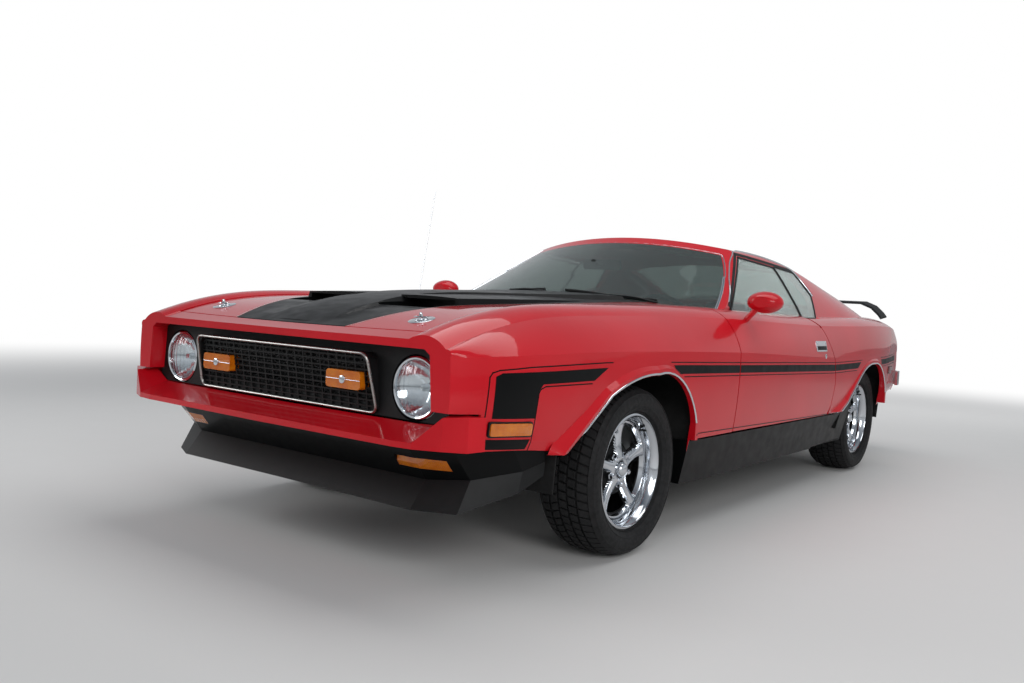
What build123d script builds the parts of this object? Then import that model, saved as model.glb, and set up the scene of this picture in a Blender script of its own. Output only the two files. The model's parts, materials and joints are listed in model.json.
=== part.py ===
from build123d import *
from functools import cache
import os

# Lengths that drive the car, in millimetres
FRONT_OVERHANG = 1010.0
WHEELBASE = 2769.0
REAR_OVERHANG = 1034.0
WIDTH = 1882.0
ROOF_HEIGHT = 1289.0
FRONT_TRACK = 1562.0
REAR_TRACK = 1549.0

# The same lengths on the drawing that the tables below are read from
DRAWN_ZONES = (1010.0, 2769.0, 1034.0)
DRAWN_WIDTH = 1882.0
DRAWN_ROOF = 1289.0
DRAWN_BELT = 930.0

# Walls, gaps and running clearances
SKIN = 8.0
ROOF_WALL = 34.0
GLASS = 5.0
PANEL_GAP = 6.0
DOOR_GAP = 7.0
SEAT_CLEARANCE = 0.3
FLOOR_WALL = 6.0

# Wheels
TYRE_RADIUS = 313.0
TYRE_WIDTH = 235.0
RIM_RADIUS = 208.0
BEAD_RADIUS = 190.0
RIM_WIDTH = 190.0
RIM_FACE_DEPTH = 46.0
SPOKES = 5
HUB_RADIUS = 34.0
KINGPIN_INSET = 81.0
DISC_RADIUS = 105.0
KINGPIN_RADIUS = 14.0
DRUM_RADIUS = 140.0

# Closures, as stations on the drawing
HEADER_BACK = 122.0
HOOD_BACK = 1650.0
DOOR_FRONT = 1790.0
DOOR_BACK = 3070.0
LID_FRONT = 4215.0
LID_BACK = 4655.0
DOOR_HINGE_SETBACK = 50.0
DOOR_HINGE_X = 920.0
DOOR_INNER_X = 788.0
DOOR_BOTTOM = 402.0
HINGE_PIN_RADIUS = 4.0
HINGE_ARM = 16.0
HINGE_BAR = 14.0
EAR_HEIGHT = 46.0
HINGE_HEIGHT = 30.0
DOOR_HINGES = (572.0, 690.0)
HOOD_HINGE = (668.0, HOOD_BACK + 80, 893.0)
LID_HINGE = (500.0, LID_FRONT - 60, 920.0)
HOOD_HINGE_REACH = (112, 26, 44)
LID_HINGE_REACH = (105, 16, 84)
BUMPER_BACK = 142.0
BUMPER_HORN_TOP = 573.0
BUMPER_BOTTOM = 466.0
HOOD_WALL = 22.0
LID_WALL = 20.0

# Lamps: headlamp (half-width, z), parking lamp (x0, x1, z0, z1), grille lamp (x0, x1, z0, z1, station)
HEADLAMP = (619.0, 630.0)
HEADLAMP_RADIUS = 90.0
BUCKET_WALL = 8.0
PARK_LAMP = (512, 696, 376, 412)
GRILLE_LAMP = (258, 417, 603, 661, 82)
TAIL_LAMPS = ((395, 490), (500, 595), (605, 700))

# Grille mesh
GRILLE_EDGE = 9.0
MESH_BAR = 5.0
MESH_PITCH_X = 42.0
MESH_PITCH_Z = 19.0
MESH_ROWS = 9
MESH_FIRST_Z = 552

# Pad and bolt holes for a licence plate
PLATE_FACE = 4706.0
PLATE_BOLT_SPACING = 177.8
PLATE_BOLT_RADIUS = 3.2
PLATE_BOLT_Z = 442.0

# Underneath and behind
APRON_X = 478.0
STEERING_X = 370.0
EXHAUST_X = 420.0
AXLE_TUBE_RADIUS = 38.0
AXLE_CASE_RADIUS = 128.0
SPRING_X = (530, 590)
SPRING_PLATE_X = (526, 592)
SPRING_PLATE_Z = {1: 199.0, -1: 206.0}
WING_FRONT = 4500.0
WING_CHORD = 150.0

LENGTH = FRONT_OVERHANG + WHEELBASE + REAR_OVERHANG
FRONT_AXLE = DRAWN_ZONES[0]
REAR_AXLE = DRAWN_ZONES[0] + DRAWN_ZONES[1]
FRONT_WHEEL_X = FRONT_TRACK / 2
REAR_WHEEL_X = REAR_TRACK / 2
UPRIGHT = (Align.CENTER, Align.CENTER, Align.MIN)


def at(station):
    """Y of a station read off the drawing, counted back from the front bumper."""
    start = 0.0
    y = -LENGTH / 2
    zones = tuple(zip(DRAWN_ZONES, (FRONT_OVERHANG, WHEELBASE, REAR_OVERHANG)))
    for drawn, real in zones[:-1]:
        if station <= start + drawn:
            return y + (station - start) * real / drawn
        start = start + drawn
        y = y + real
    drawn, real = zones[-1]
    return y + (station - start) * real / drawn


def out(x):
    """X of a half-width read off the drawing."""
    return x * WIDTH / DRAWN_WIDTH


def up(z):
    """Z of a height read off the drawing, where only the roof above the belt stretches."""
    if z <= DRAWN_BELT:
        return z
    return DRAWN_BELT + (z - DRAWN_BELT) * (ROOF_HEIGHT - DRAWN_BELT) / (DRAWN_ROOF - DRAWN_BELT)


def side_prism(points, x0, x1):
    """A solid with a side outline of (station, height) points, from x0 to x1."""
    outline = Polyline(*[(at(s), up(z)) for s, z in points], close=True)
    plane = Plane(origin=(x0, 0, 0), x_dir=(0, 1, 0), z_dir=(1, 0, 0))
    return extrude(plane * make_face(outline), x1 - x0)


def plan_prism(points, z0, z1):
    """A solid with a plan outline of (half-width, station) points, from z0 to z1."""
    outline = Polyline(*[(out(x), at(s)) for x, s in points], close=True)
    return extrude(Plane.XY.offset(z0) * make_face(outline), z1 - z0)


def front_prism(points, s0, s1):
    """A solid with a front outline of (half-width, height) points, from station s0 to s1."""
    outline = Polyline(*[(out(x), up(z)) for x, z in points], close=True)
    plane = Plane(origin=(0, at(s1), 0), x_dir=(1, 0, 0), z_dir=(0, -1, 0))
    return extrude(plane * make_face(outline), at(s1) - at(s0))


def block(x0, x1, s0, s1, z0, z1):
    """A rectangular solid between two half-widths, two stations and two heights."""
    corner = Vector(out(x0), at(s0), up(z0))
    size = Vector(out(x1), at(s1), up(z1)) - corner
    return Pos(*corner) * Box(size.X, size.Y, size.Z, align=(Align.MIN,) * 3)


def other_side(shape):
    return mirror(shape, about=Plane.YZ)


def both(shape):
    """The shape and its mirror image in one node."""
    return Compound([s for s in shape.solids()] + [s for s in other_side(shape).solids()])


def solid(shape):
    """The largest solid of a cut shape, without slivers."""
    return max(shape.solids(), key=lambda s: s.volume)


def rod_x(radius, x0, x1, station, z):
    plane = Plane(origin=(x0, at(station), z), x_dir=(0, 1, 0), z_dir=(1, 0, 0))
    return extrude(plane * Circle(radius), x1 - x0)


def rod(radius, start, end):
    """A round bar between two (x, y, z) points."""
    axis = Vector(*end) - Vector(*start)
    return extrude(Plane(origin=start, z_dir=axis) * Circle(radius), axis.length)


# Lower body: station, top of the centre, seam beside the hood or lid (x, z), crest of the
# fender (x, z), side crease (x, z), top of the rocker (x, z), foot of the side (x, z)
BODY = (
    (60, 778, 640, 780, 735, 790, 805, 738, 800, 500, 785, 440),
    (200, 820, 640, 824, 742, 835, 878, 744, 872, 490, 850, 430),
    (420, 871, 645, 868, 748, 880, 908, 750, 900, 480, 875, 400),
    (700, 896, 650, 890, 752, 901, 920, 755, 910, 450, 880, 330),
    (1010, 916, 655, 902, 757, 909, 926, 755, 914, 430, 880, 260),
    (1500, 944, 676, 926, 778, 916, 934, 749, 920, 410, 880, 215),
    (2000, 974, 728, 926, 825, 914, 940, 738, 922, 402, 885, 215),
    (2800, 972, 740, 922, 840, 902, 941, 709, 922, 395, 885, 215),
    (3400, 972, 745, 930, 858, 906, 940, 700, 922, 392, 882, 225),
    (3779, 965, 745, 934, 862, 912, 938, 698, 920, 400, 878, 250),
    (4250, 948, 700, 932, 832, 912, 905, 700, 890, 440, 850, 330),
    (4700, 898, 650, 888, 760, 878, 838, 705, 826, 470, 800, 400),
)

# Roof and glasshouse: station, centre of the roof, edge of the roof (x, z), belt (x, z)
GLASSHOUSE = (
    (1500, 1274, 575, 1220, 792, 905),
    (1800, 1279, 581, 1222, 795, 907),
    (2100, 1283, 586, 1224, 798, 909),
    (2400, 1286, 590, 1226, 800, 910),
    (2900, 1274, 596, 1218, 806, 904),
    (3300, 1228, 606, 1176, 822, 900),
    (3700, 1128, 652, 1082, 842, 898),
    (4000, 1036, 688, 1002, 826, 896),
    (4130, 974, 700, 952, 796, 892),
    (4240, 925, 700, 908, 745, 870),
)


def away(p, q, out_by):
    """The middle of p and q, pushed out from the car's centre by out_by."""
    run = (q - p).normalized()
    square = Vector(-run.Z, 0, run.X)
    if square.X * p.X < 0:
        square = -square
    return (p + q) * 0.5 + square * out_by


def closed_section(y, side, top_z):
    """A closed section from a function that gives one side's edges from the top down."""
    left = side(1)
    right = side(-1)
    start = left[0] @ 0
    low = left[-1] @ 1
    top = ThreePointArc((-start.X, y, start.Z), (0, y, top_z), start)
    base = Line(low, (-low.X, y, low.Z))
    return Wire([top] + left + [base] + right)


def body_section(row, wall=0.0, foot_drop=0.0):
    (station, top_z, seam_x, seam_z, crest_x, crest_z, crease_x, crease_z, sill_x, sill_z,
     foot_x, foot_z) = row
    y = at(station)

    def side(sign):
        def point(x, z, down):
            return Vector(sign * (out(x) - wall), y, up(z) - down)

        seam = point(seam_x, seam_z, wall)
        crest = point(crest_x, crest_z, wall)
        shoulder = point(crest_x + 52, crest_z - 31, wall * 0.6)
        crease = point(crease_x, crease_z, 0)
        sill = point(sill_x, sill_z, 0)
        foot = point(foot_x, foot_z, foot_drop)
        return [
            ThreePointArc(seam, crest, shoulder),
            ThreePointArc(shoulder, away(shoulder, crease, 10), crease),
            ThreePointArc(crease, away(crease, sill, 7), sill),
            Line(sill, foot),
        ]

    return closed_section(y, side, up(top_z) - wall)


@cache
def lower_body(wall=0.0, foot_drop=0.0):
    return Solid.make_loft([body_section(row, wall, foot_drop) for row in BODY])


def roof_section(row, wall=0.0):
    station, top_z, edge_x, edge_z, belt_x, belt_z = row
    y = at(station)

    def side(sign):
        edge = Vector(sign * (out(edge_x) - wall), y, up(edge_z) - wall)
        belt = Vector(sign * (out(belt_x) - wall), y, belt_z)
        inboard = edge + Vector(-34 * sign, 0, 7)
        outboard = edge + (belt - edge).normalized() * 30
        return [
            ThreePointArc(inboard, (inboard + outboard) * 0.25 + edge * 0.5, outboard),
            ThreePointArc(outboard, away(outboard, belt, 6), belt),
            Line(belt, belt - Vector(0, 0, 160)),
        ]

    return closed_section(y, side, up(top_z) - wall)


@cache
def glasshouse(wall=0.0):
    return Solid.make_loft([roof_section(row, wall) for row in GLASSHOUSE])


# Windscreen: distance up its slope from the base and how far its bow falls at the car's side
SCREEN_BASE = (1700.0, 960.0)
SCREEN_TOP = (2312.0, 1279.0)
SCREEN_FALL = ((-300.0, 140.0), (3700.0, 640.0))
# Opening for the glass from the front: foot, corner, bulge and head of its side (half-width, z)
SCREEN_SIDE = ((754, 700), (754, 926), (664, 1076), (560, 1198))
SCREEN_HEAD_Z = 1251.0
SCREEN_HEADER = 2420.0
SCREEN_DEPTH = 900.0


@cache
def under_screen(wall=0.0):
    """Everything behind the bowed surface of the windscreen."""
    low = Vector(0, at(SCREEN_BASE[0]), up(SCREEN_BASE[1]))
    slope = (Vector(0, at(SCREEN_TOP[0]), up(SCREEN_TOP[1])) - low).normalized()
    square = Vector(0, -slope.Z, slope.Y)
    sections = []
    for run, fall in SCREEN_FALL:
        centre = low + slope * run - square * wall
        half = WIDTH / 2
        tip = centre - square * fall
        deep = centre - square * 3600
        sections.append(Wire([
            ThreePointArc(tip - Vector(half, 0, 0), centre, tip + Vector(half, 0, 0)),
            Line(tip + Vector(half, 0, 0), deep + Vector(half, 0, 0)),
            Line(deep + Vector(half, 0, 0), deep - Vector(half, 0, 0)),
            Line(deep - Vector(half, 0, 0), tip - Vector(half, 0, 0)),
        ]))
    return Solid.make_loft(sections, ruled=True)
# Wheel arches: outline of the opening ahead of, over and behind the axle (station, height)
FRONT_ARCH = (
    ("line", (500, 120), (500, 424)),
    ("line", (500, 424), (742, 604)),
    ("arc", (742, 604), (905, 656), (1060, 668)),
    ("arc", (1060, 668), (1285, 610), (1382, 470)),
    ("line", (1382, 470), (1382, 120)),
)
REAR_ARCH = (
    ("line", (2890, 120), (2915, 281)),
    ("line", (2915, 281), (3300, 436)),
    ("line", (3300, 436), (3520, 578)),
    ("arc", (3520, 578), (3650, 636), (3795, 652)),
    ("arc", (3795, 652), (3960, 606), (4050, 470)),
    ("line", (4050, 470), (4060, 120)),
)
FLARE_REACH = 62.0
FLARE_STAND = 15.0


def arch_prism(table, x0, x1, grow=0.0):
    """The arch's outline as a solid across one side, grown outward about its axle."""
    def spot(s, z):
        return Vector(0, at(s), z + TYRE_RADIUS - 313.0)

    edges = []
    for kind, *points in table:
        p = [spot(*q) for q in points]
        edges.append(Line(*p) if kind == "line" else ThreePointArc(*p))
    edges.append(Line(edges[-1] @ 1, edges[0] @ 0))
    wire = Wire(edges)
    if grow:
        wire = wire.offset_2d(grow)
    return extrude(Pos(x0, 0, 0) * Face(wire), x1 - x0, dir=(1, 0, 0))


def flare(table, skin_x):
    """A low rim round the arch that stands proud of the side and slopes back into it."""
    wires = []
    for grow, x in ((FLARE_REACH, skin_x - 26), (FLARE_REACH * 0.35, skin_x + FLARE_STAND)):
        prism = arch_prism(table, x - 1, x, grow)
        wires.append(prism.faces().sort_by(Axis.X)[-1].outer_wire())
    return Solid.make_loft(wires, ruled=True) - block(-1100, 1100, 0, 4800, -100, DOOR_BOTTOM)


# Outlines of the doors and windows from the side, and of the hood and lid from above
DOOR_OUTLINE = (
    (DOOR_FRONT, DOOR_BOTTOM), (3020, DOOR_BOTTOM - 8), (3058, 440), (3080, 560),
    (3044, 690), (2970, 775), (2895, 885), (2884, 935), (DOOR_FRONT, 935),
)
SIDE_WINDOW = ((1985, 840), (1985, 925), (2436, 1200), (3190, 1160), (3222, 1035), (3084, 908), (2884, 905),
               (2884, 840))
DOOR_GLASS_BACK = 2870.0
DOOR_GLASS_BOTTOM = 890.0
HOOD_OUTLINE = ((642, HEADER_BACK + PANEL_GAP), (656, 1010), (690, HOOD_BACK))
LID_OUTLINE = ((640, LID_FRONT), (600, LID_BACK))
LID_FRONT_GAP = 10.0
COWL_DROP = 30.0
COWL_FRONT = 1600.0
REAR_SCREEN_OUTLINE = ((500, 3285), (585, 4050))
INNER_DOOR_INSET = 16.0


def mirrored_outline(half, inset=0.0):
    """A plan outline from the half-widths of its left edge, front to back."""
    left = [(x - inset, s) for x, s in half]
    return left + [(-x, s) for x, s in reversed(left)]


def grown(outline, side, ends):
    """The half outline grown sideways and at both ends."""
    points = [(x + side, s) for x, s in outline]
    points[0] = (points[0][0], points[0][1] - ends)
    points[-1] = (points[-1][0], points[-1][1] + ends)
    return points


def door_outline(front=0.0, back=0.0, bottom=0.0, top=0.0):
    """The door's side outline with its edges moved outward."""
    points = []
    for s, z in DOOR_OUTLINE:
        shift = -front if s <= DOOR_FRONT else back
        points.append((s + shift, z - bottom if z < DOOR_BOTTOM + 10 else z + (top if z > 930 else 0)))
    return points


# Skins: the outside of the car, the room inside it, and that room with a seat clearance
outside = lower_body()
room = lower_body(SKIN, 400)
trim = lower_body(SKIN + SEAT_CLEARANCE, 400)
roof_outside = glasshouse() & under_screen()
roof_room = glasshouse(ROOF_WALL) & under_screen(ROOF_WALL)
shell = (outside + roof_outside) - (room + roof_room)

# Front bumper: crease (half-width, station, z), lower edge z, back edge (half-width, station, z)
BUMPER = (
    (0, 0, 487, 466, 0, 118, 523),
    (640, 5, 485, 467, 640, 118, 525),
    (716, 11, 486, 468, 708, 118, 529),
    (800, 45, 566, 469, 780, 118, 570),
    (866, 82, 573, 470, 812, 138, 573),
    (882, 141, 570, 472, 812, BUMPER_BACK, 570),
)


def front_bumper():
    sections = [(-x, s, z, low, -back_x, back_s, back_z) for x, s, z, low, back_x, back_s, back_z
                in reversed(BUMPER[1:])] + list(BUMPER)
    wires = []
    for x, s, z, low, back_x, back_s, back_z in sections:
        front = Vector(out(x), at(s), z)
        back = Vector(out(back_x), at(back_s), back_z)
        wires.append(Wire.make_polygon([
            front, Vector(front.X, front.Y, low), Vector(back.X, back.Y, low), back], close=True))
    return solid(Solid.make_loft(wires, ruled=True))


# Grille opening between the fenders (half-width, z)
OPENING_OUTLINE = ((742, 480), (742, 562), (726, 738), (704, 754))


def mirrored_front(half):
    """A front outline from the points of its left half, bottom to top."""
    return [(-x, z) for x, z in half] + list(reversed(half))


def nose_slab():
    """The front faces of the header and the fenders, round the grille opening."""
    slab_part = outside & block(-1000, 1000, 40, HEADER_BACK, 520, 1000)
    return slab_part - front_prism(mirrored_front(OPENING_OUTLINE), 30, 200)


def bumper_room():
    """Space that the bumper takes out of the fenders."""
    return block(-1000, 1000, -20, BUMPER_BACK + SEAT_CLEARANCE, 300, BUMPER_HORN_TOP + 4)


def fender_left():
    inner = grown(HOOD_OUTLINE, PANEL_GAP / 2, 0)
    plan = [(inner[0][0], 20)] + inner + [(738, HOOD_BACK), (738, DOOR_FRONT - DOOR_GAP)]
    plan = plan + [(1100, DOOR_FRONT - DOOR_GAP), (1100, 20)]
    region = plan_prism(plan, 100, 1100)
    rim = flare(FRONT_ARCH, 926) - room
    body = (shell + nose_slab() + rim) & region
    body = body - arch_prism(FRONT_ARCH, 400, 1100) - bumper_room()
    body = body - block(300, 1100, 1384, 1900, 100, DOOR_BOTTOM - 1)
    return solid(body)


def nose_panel():
    half = HOOD_OUTLINE[0][0] + PANEL_GAP / 2 - SEAT_CLEARANCE
    return solid(nose_slab() & block(-half, half, 20, HEADER_BACK, 700, 900))


def cowl_zone():
    """The strip between the hood and the windscreen that is left out of the body's skin."""
    return block(-735, 735, HOOD_BACK, 1880, 850, 1100) - under_screen()


def hinge_arm(x, station, z, toward, reach, rise, drop):
    """The arm of a closed lid's hinge, which turns about its pin; toward is the way it points."""
    y = at(station)
    half = HINGE_ARM / 2

    def bar(s0, s1, z0, z1):
        low = min(y + toward * s0, y + toward * s1)
        return Pos(x - half, low, z + z0) * Box(HINGE_ARM, abs(s1 - s0), z1 - z0, align=(Align.MIN,) * 3)

    arm = rod_x(HINGE_BAR / 2, x - half, x + half, station, z)
    arm = arm + bar(-HINGE_BAR / 2, HINGE_BAR / 2, -drop, 0)
    arm = arm + bar(-HINGE_BAR / 2, reach, -drop, HINGE_BAR - drop)
    arm = arm + bar(reach - HINGE_BAR, reach, -drop, rise)
    return arm - rod_x(HINGE_PIN_RADIUS + SEAT_CLEARANCE, x - half - 1, x + half + 1, station, z)


def hinge_ears(x, station, z):
    """The two ears on the body with the pin through them."""
    half = HINGE_ARM / 2
    ears = rod_x(HINGE_PIN_RADIUS, x - half - 8, x + half + 8, station, z)
    for x0 in (x - half - 8, x + half + SEAT_CLEARANCE):
        place = Pos(x0, at(station) - 8, z - 8)
        ears = ears + place * Box(8 - SEAT_CLEARANCE, 16, EAR_HEIGHT, align=(Align.MIN,) * 3)
    return ears


# Raised middle of the hood: station, half-width, edge z, crown z, foot z
DOME = (
    (150, 162, 802, 806, 790),
    (420, 142, 884, 888, 858),
    (700, 132, 924, 928, 883),
    (1010, 180, 940, 945, 902),
    (1400, 300, 953, 960, 922),
    (1644, 420, 960, 970, 934),
)
DOME_SLOPE = 26.0

# Air scoop beside it: station, inner x, outer x, inner z, outer z, foot z
SCOOP = (
    (548, 122, 398, 912, 907, 868),
    (800, 122, 414, 925, 915, 884),
    (1150, 150, 434, 936, 924, 902),
    (1480, 190, 450, 938, 931, 918),
)
SCOOP_SLOPE = 14.0
MOUTH_WIDTH = (146, 386)
MOUTH_SIDE = ((405, 1000), (405, 872), (470, 868), (548, 868), (606, 868), (606, 901), (549, 901),
              (549, 1000))


def raised(rows, slope):
    """A low shape that stands on the hood: slices of station, x0, x1, z0, z1, crown z, foot z."""
    wires = []
    for s, x0, x1, z0, z1, crown, foot in rows:
        spots = ((x0, z0), (x1, z1), ((x0 + x1) / 2, crown))
        a, b, middle = [Vector(out(x), at(s), up(z)) for x, z in spots]
        low_a = Vector(a.X - slope, a.Y, up(foot))
        low_b = Vector(b.X + slope, b.Y, up(foot))
        wires.append(Wire([Line(low_a, a), ThreePointArc(a, middle, b), Line(b, low_b), Line(low_b, low_a)]))
    return Solid.make_loft(wires)


def hood():
    plan = plan_prism(mirrored_outline(HOOD_OUTLINE, PANEL_GAP / 2), 700, 1100)
    panel = solid(plan & (outside - lower_body(HOOD_WALL)))
    dome = raised([(s, -half, half, z, z, crown, foot) for s, half, z, crown, foot in DOME], DOME_SLOPE)
    rows = [(s, x0, x1, z0, z1, (z0 + z1) / 2 + 3, foot) for s, x0, x1, z0, z1, foot in SCOOP]
    scoop = raised(rows, SCOOP_SLOPE)
    mouth = side_prism(MOUTH_SIDE, *MOUTH_WIDTH)
    arm = hinge_arm(*HOOD_HINGE, -1, *HOOD_HINGE_REACH)
    panel = panel + dome + scoop + other_side(scoop) - mouth - other_side(mouth)
    return solid(panel + arm + other_side(arm))


def cowl_panel():
    strip = block(-648, 648, COWL_FRONT, 1900, 850, 1100) - under_screen(-SEAT_CLEARANCE)
    return solid(strip & (lower_body(COWL_DROP) - lower_body(COWL_DROP + SKIN)))


def screen_opening(inset=0.0):
    """The hole for the windscreen, seen from the front, through the pillars and the header."""
    y = at(SCREEN_HEADER)

    def side(sign):
        foot, corner, bulge, head = [Vector(sign * out(x), y, up(z)) for x, z in SCREEN_SIDE]
        return [ThreePointArc(head, bulge, corner), Line(corner, foot)]

    wire = closed_section(y, side, up(SCREEN_HEAD_Z))
    if inset:
        wire = wire.offset_2d(-inset, kind=Kind.INTERSECTION)
    return extrude(Face(wire), SCREEN_DEPTH, dir=(0, -1, 0))


def windscreen():
    sheet = under_screen() - under_screen(GLASS)
    clear_of_hood = block(-900, 900, HOOD_BACK + 10, 2500, 850, 1400)
    return solid(((sheet & screen_opening(SEAT_CLEARANCE)) & clear_of_hood) - lower_body(COWL_DROP))


def rear_window():
    plan = plan_prism(mirrored_outline(REAR_SCREEN_OUTLINE, SEAT_CLEARANCE), 880, 1400)
    return solid(plan & (glasshouse() - glasshouse(GLASS)))


def side_window(inset=0.0):
    """The opening for the side glass, right through the left wall."""
    wire = Wire.make_polygon([Vector(0, at(z[0]), up(z[1])) for z in SIDE_WINDOW], close=True)
    if inset:
        wire = wire.offset_2d(-inset, kind=Kind.INTERSECTION)
    return extrude(Pos(480, 0, 0) * Face(wire), 520, dir=(1, 0, 0))


def door_glass_left():
    pane = side_window(DOOR_GAP) & block(400, 1100, 1900, DOOR_GLASS_BACK, DOOR_GLASS_BOTTOM, 1400)
    return solid(pane & (glasshouse() - glasshouse(GLASS)))


def quarter_windows():
    pane = side_window(SEAT_CLEARANCE) & block(400, 1100, 2884 + SEAT_CLEARANCE, 3400, 905, 1400)
    return both(solid(pane & (glasshouse() - glasshouse(GLASS))))


def body_shell():
    lid = plan_prism(mirrored_outline(grown(LID_OUTLINE, PANEL_GAP / 2, LID_FRONT_GAP), 0), 700, 1100)
    front = plan_prism([(-1100, 20), (1100, 20), (1100, DOOR_FRONT), (738, DOOR_FRONT),
                        (738, HOOD_BACK + PANEL_GAP), (-738, HOOD_BACK + PANEL_GAP),
                        (-738, DOOR_FRONT), (-1100, DOOR_FRONT)], 100, 1100)
    body = shell - front - lid - cowl_zone()
    door = side_prism(door_outline(0, DOOR_GAP, 60, 0), DOOR_INNER_X - DOOR_GAP, 1100)
    rocker = side_prism([(1300, 100), (1300, DOOR_BOTTOM), (3330, DOOR_BOTTOM - 8), (3330, 100)], 500, 1100)
    rim = flare(REAR_ARCH, 932) - room
    front = DOOR_FRONT + 10
    keep = plan_prism([(500, front), (500, 4600), (1100, 4600), (1100, front)], 100, 1000)
    quarter = rim & keep
    left = door + side_window() + rocker + arch_prism(REAR_ARCH, 560, 1100)
    body = body + quarter + other_side(quarter)
    body = body - left - other_side(left)
    body = body - screen_opening(0)
    body = body - plan_prism(mirrored_outline(REAR_SCREEN_OUTLINE), 880, 1400)
    body = body - block(-1000, 1000, 1900, 4690, 100, 300)
    ears = hinge_ears(*LID_HINGE)
    return solid(body + ears + other_side(ears))


def door_left():
    outer_part = side_prism(door_outline(), 900, 1100)
    inner_part = side_prism(door_outline(back=-INNER_DOOR_INSET), DOOR_INNER_X, 901)
    slot = side_prism([(1990, 890), (1990, 960), (2880, 960), (2880, 890)], 700, 1000)
    slot = slot & (glasshouse(-SEAT_CLEARANCE) - glasshouse(GLASS + SEAT_CLEARANCE))
    body = outside & (outer_part + inner_part)
    return solid(body - slot)


def rocker_left():
    outline = [(1384, 180), (1384, DOOR_BOTTOM - 7), (3300, DOOR_BOTTOM - 15), (3300, 180)]
    bar = side_prism(outline, 770, 1100) & outside
    return solid(bar - arch_prism(FRONT_ARCH, 400, 1100) - arch_prism(REAR_ARCH, 400, 1100))


def trunk_lid():
    plan = plan_prism(mirrored_outline(LID_OUTLINE, PANEL_GAP / 2), 700, 1100)
    panel = solid(plan & (outside - lower_body(LID_WALL)))
    arm = hinge_arm(*LID_HINGE, 1, *LID_HINGE_REACH)
    return solid(panel + arm + other_side(arm))


def ribbon(rows, thick):
    """A bent sheet from upright slices: x, top (station, z), bottom (station, z)."""
    slices = [(-x, *rest) for x, *rest in reversed(rows) if x > 0] + list(rows)
    wires = []
    for x, top_s, top_z, low_s, low_z, lean in slices:
        back = Vector(-lean if x > 0 else lean, thick - abs(lean), 0)
        a = Vector(out(x), at(top_s), top_z)
        b = Vector(out(x), at(low_s), low_z)
        wires.append(Wire.make_polygon([a, b, b + back, a + back], close=True))
    return Solid.make_loft(wires, ruled=True)


# Front apron and chin spoiler: half-width, top (station, z), bottom (station, z), inward lean
VALANCE_TOP = BUMPER_BOTTOM - SEAT_CLEARANCE
VALANCE = (
    (0, 106, VALANCE_TOP, 205, 338, 0),
    (600, 107, VALANCE_TOP, 208, 338, 0),
    (735, 160, VALANCE_TOP, 262, 350, 3),
    (835, 330, VALANCE_TOP, 395, 378, 6),
    (862, 462, VALANCE_TOP, 476, 404, 6),
)
CHIN_LIP = ((138, 255), (142, 252), (206, 252), (376, 310), (470, 360))


def front_valance():
    x0, x1, z0, z1 = PARK_LAMP
    sheet = ribbon(VALANCE, 10)
    hole = block(x0, x1, 60, 400, z0, z1)
    return solid(sheet - hole - other_side(hole))


def chin_spoiler():
    rows = [(x, s, z - SEAT_CLEARANCE, lip_s, lip_z, lean)
            for (x, _, _, s, z, lean), (lip_s, lip_z) in zip(VALANCE, CHIN_LIP)]
    return solid(ribbon(rows, 10))


def parking_lamps():
    x0, x1, z0, z1 = PARK_LAMP
    gap = SEAT_CLEARANCE
    lamp = block(x0 + gap, x1 - gap, 165, 225, z0 + gap, z1 - gap)
    return both(solid(lamp - (Pos(0, -30, 0) * ribbon(VALANCE, 30))))


# Grille surround: how far back its face lies at two heights (station, z), and its outline (half-width, z)
GRILLE_FACE = ((116, 536), (74, 725))
MESH_FACE = ((118, 536), (88, 725))
GRILLE_OUTLINE = ((452, 533), (466, 550), (450, 706), (430, 725))


def round_front(x, z, station, profile):
    """A turned piece facing forward: profile of (radius, depth behind the station)."""
    plane = Plane(origin=(out(x), at(station), z), x_dir=(1, 0, 0), z_dir=(0, 0, 1))
    face = plane * make_face(Polyline(*[(r, d) for r, d in profile], close=True))
    return revolve(face, Axis((out(x), at(station), z), (0, 1, 0)))


def headlamps():
    x, z = HEADLAMP
    r = HEADLAMP_RADIUS
    profile = [(0, -22), (r * 0.5, -17), (r * 0.8, -8), (r, 6), (r + 5, -4), (r + 12, 2), (r + 12, 30),
               (r - 10, 60), (r - 40, 100), (0, 110)]
    return both(round_front(x, z, 126, profile))


def ahead_of(face, gap=0.0):
    """Everything in front of a leaning face given by its stations at two heights."""
    (s0, z0), (s1, z1) = face
    lean = (s1 - s0) / (z1 - z0)
    low, high = z0 - 60, z1 + 60
    foot, head = [s0 + (z - z0) * lean + gap for z in (low, high)]
    return side_prism([(-90, low), (foot, low), (head, high), (-90, high)], -600, 600)


def grille_lamp(grow=0.0):
    x0, x1, z0, z1, s = GRILLE_LAMP
    lamp = block(x0 - grow, x1 + grow, s, HEADER_BACK, z0 - grow, z1 + grow)
    return fillet(lamp.edges().filter_by(Axis.Y), 12 + grow)


def grille_lamps():
    return both(grille_lamp())


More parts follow.
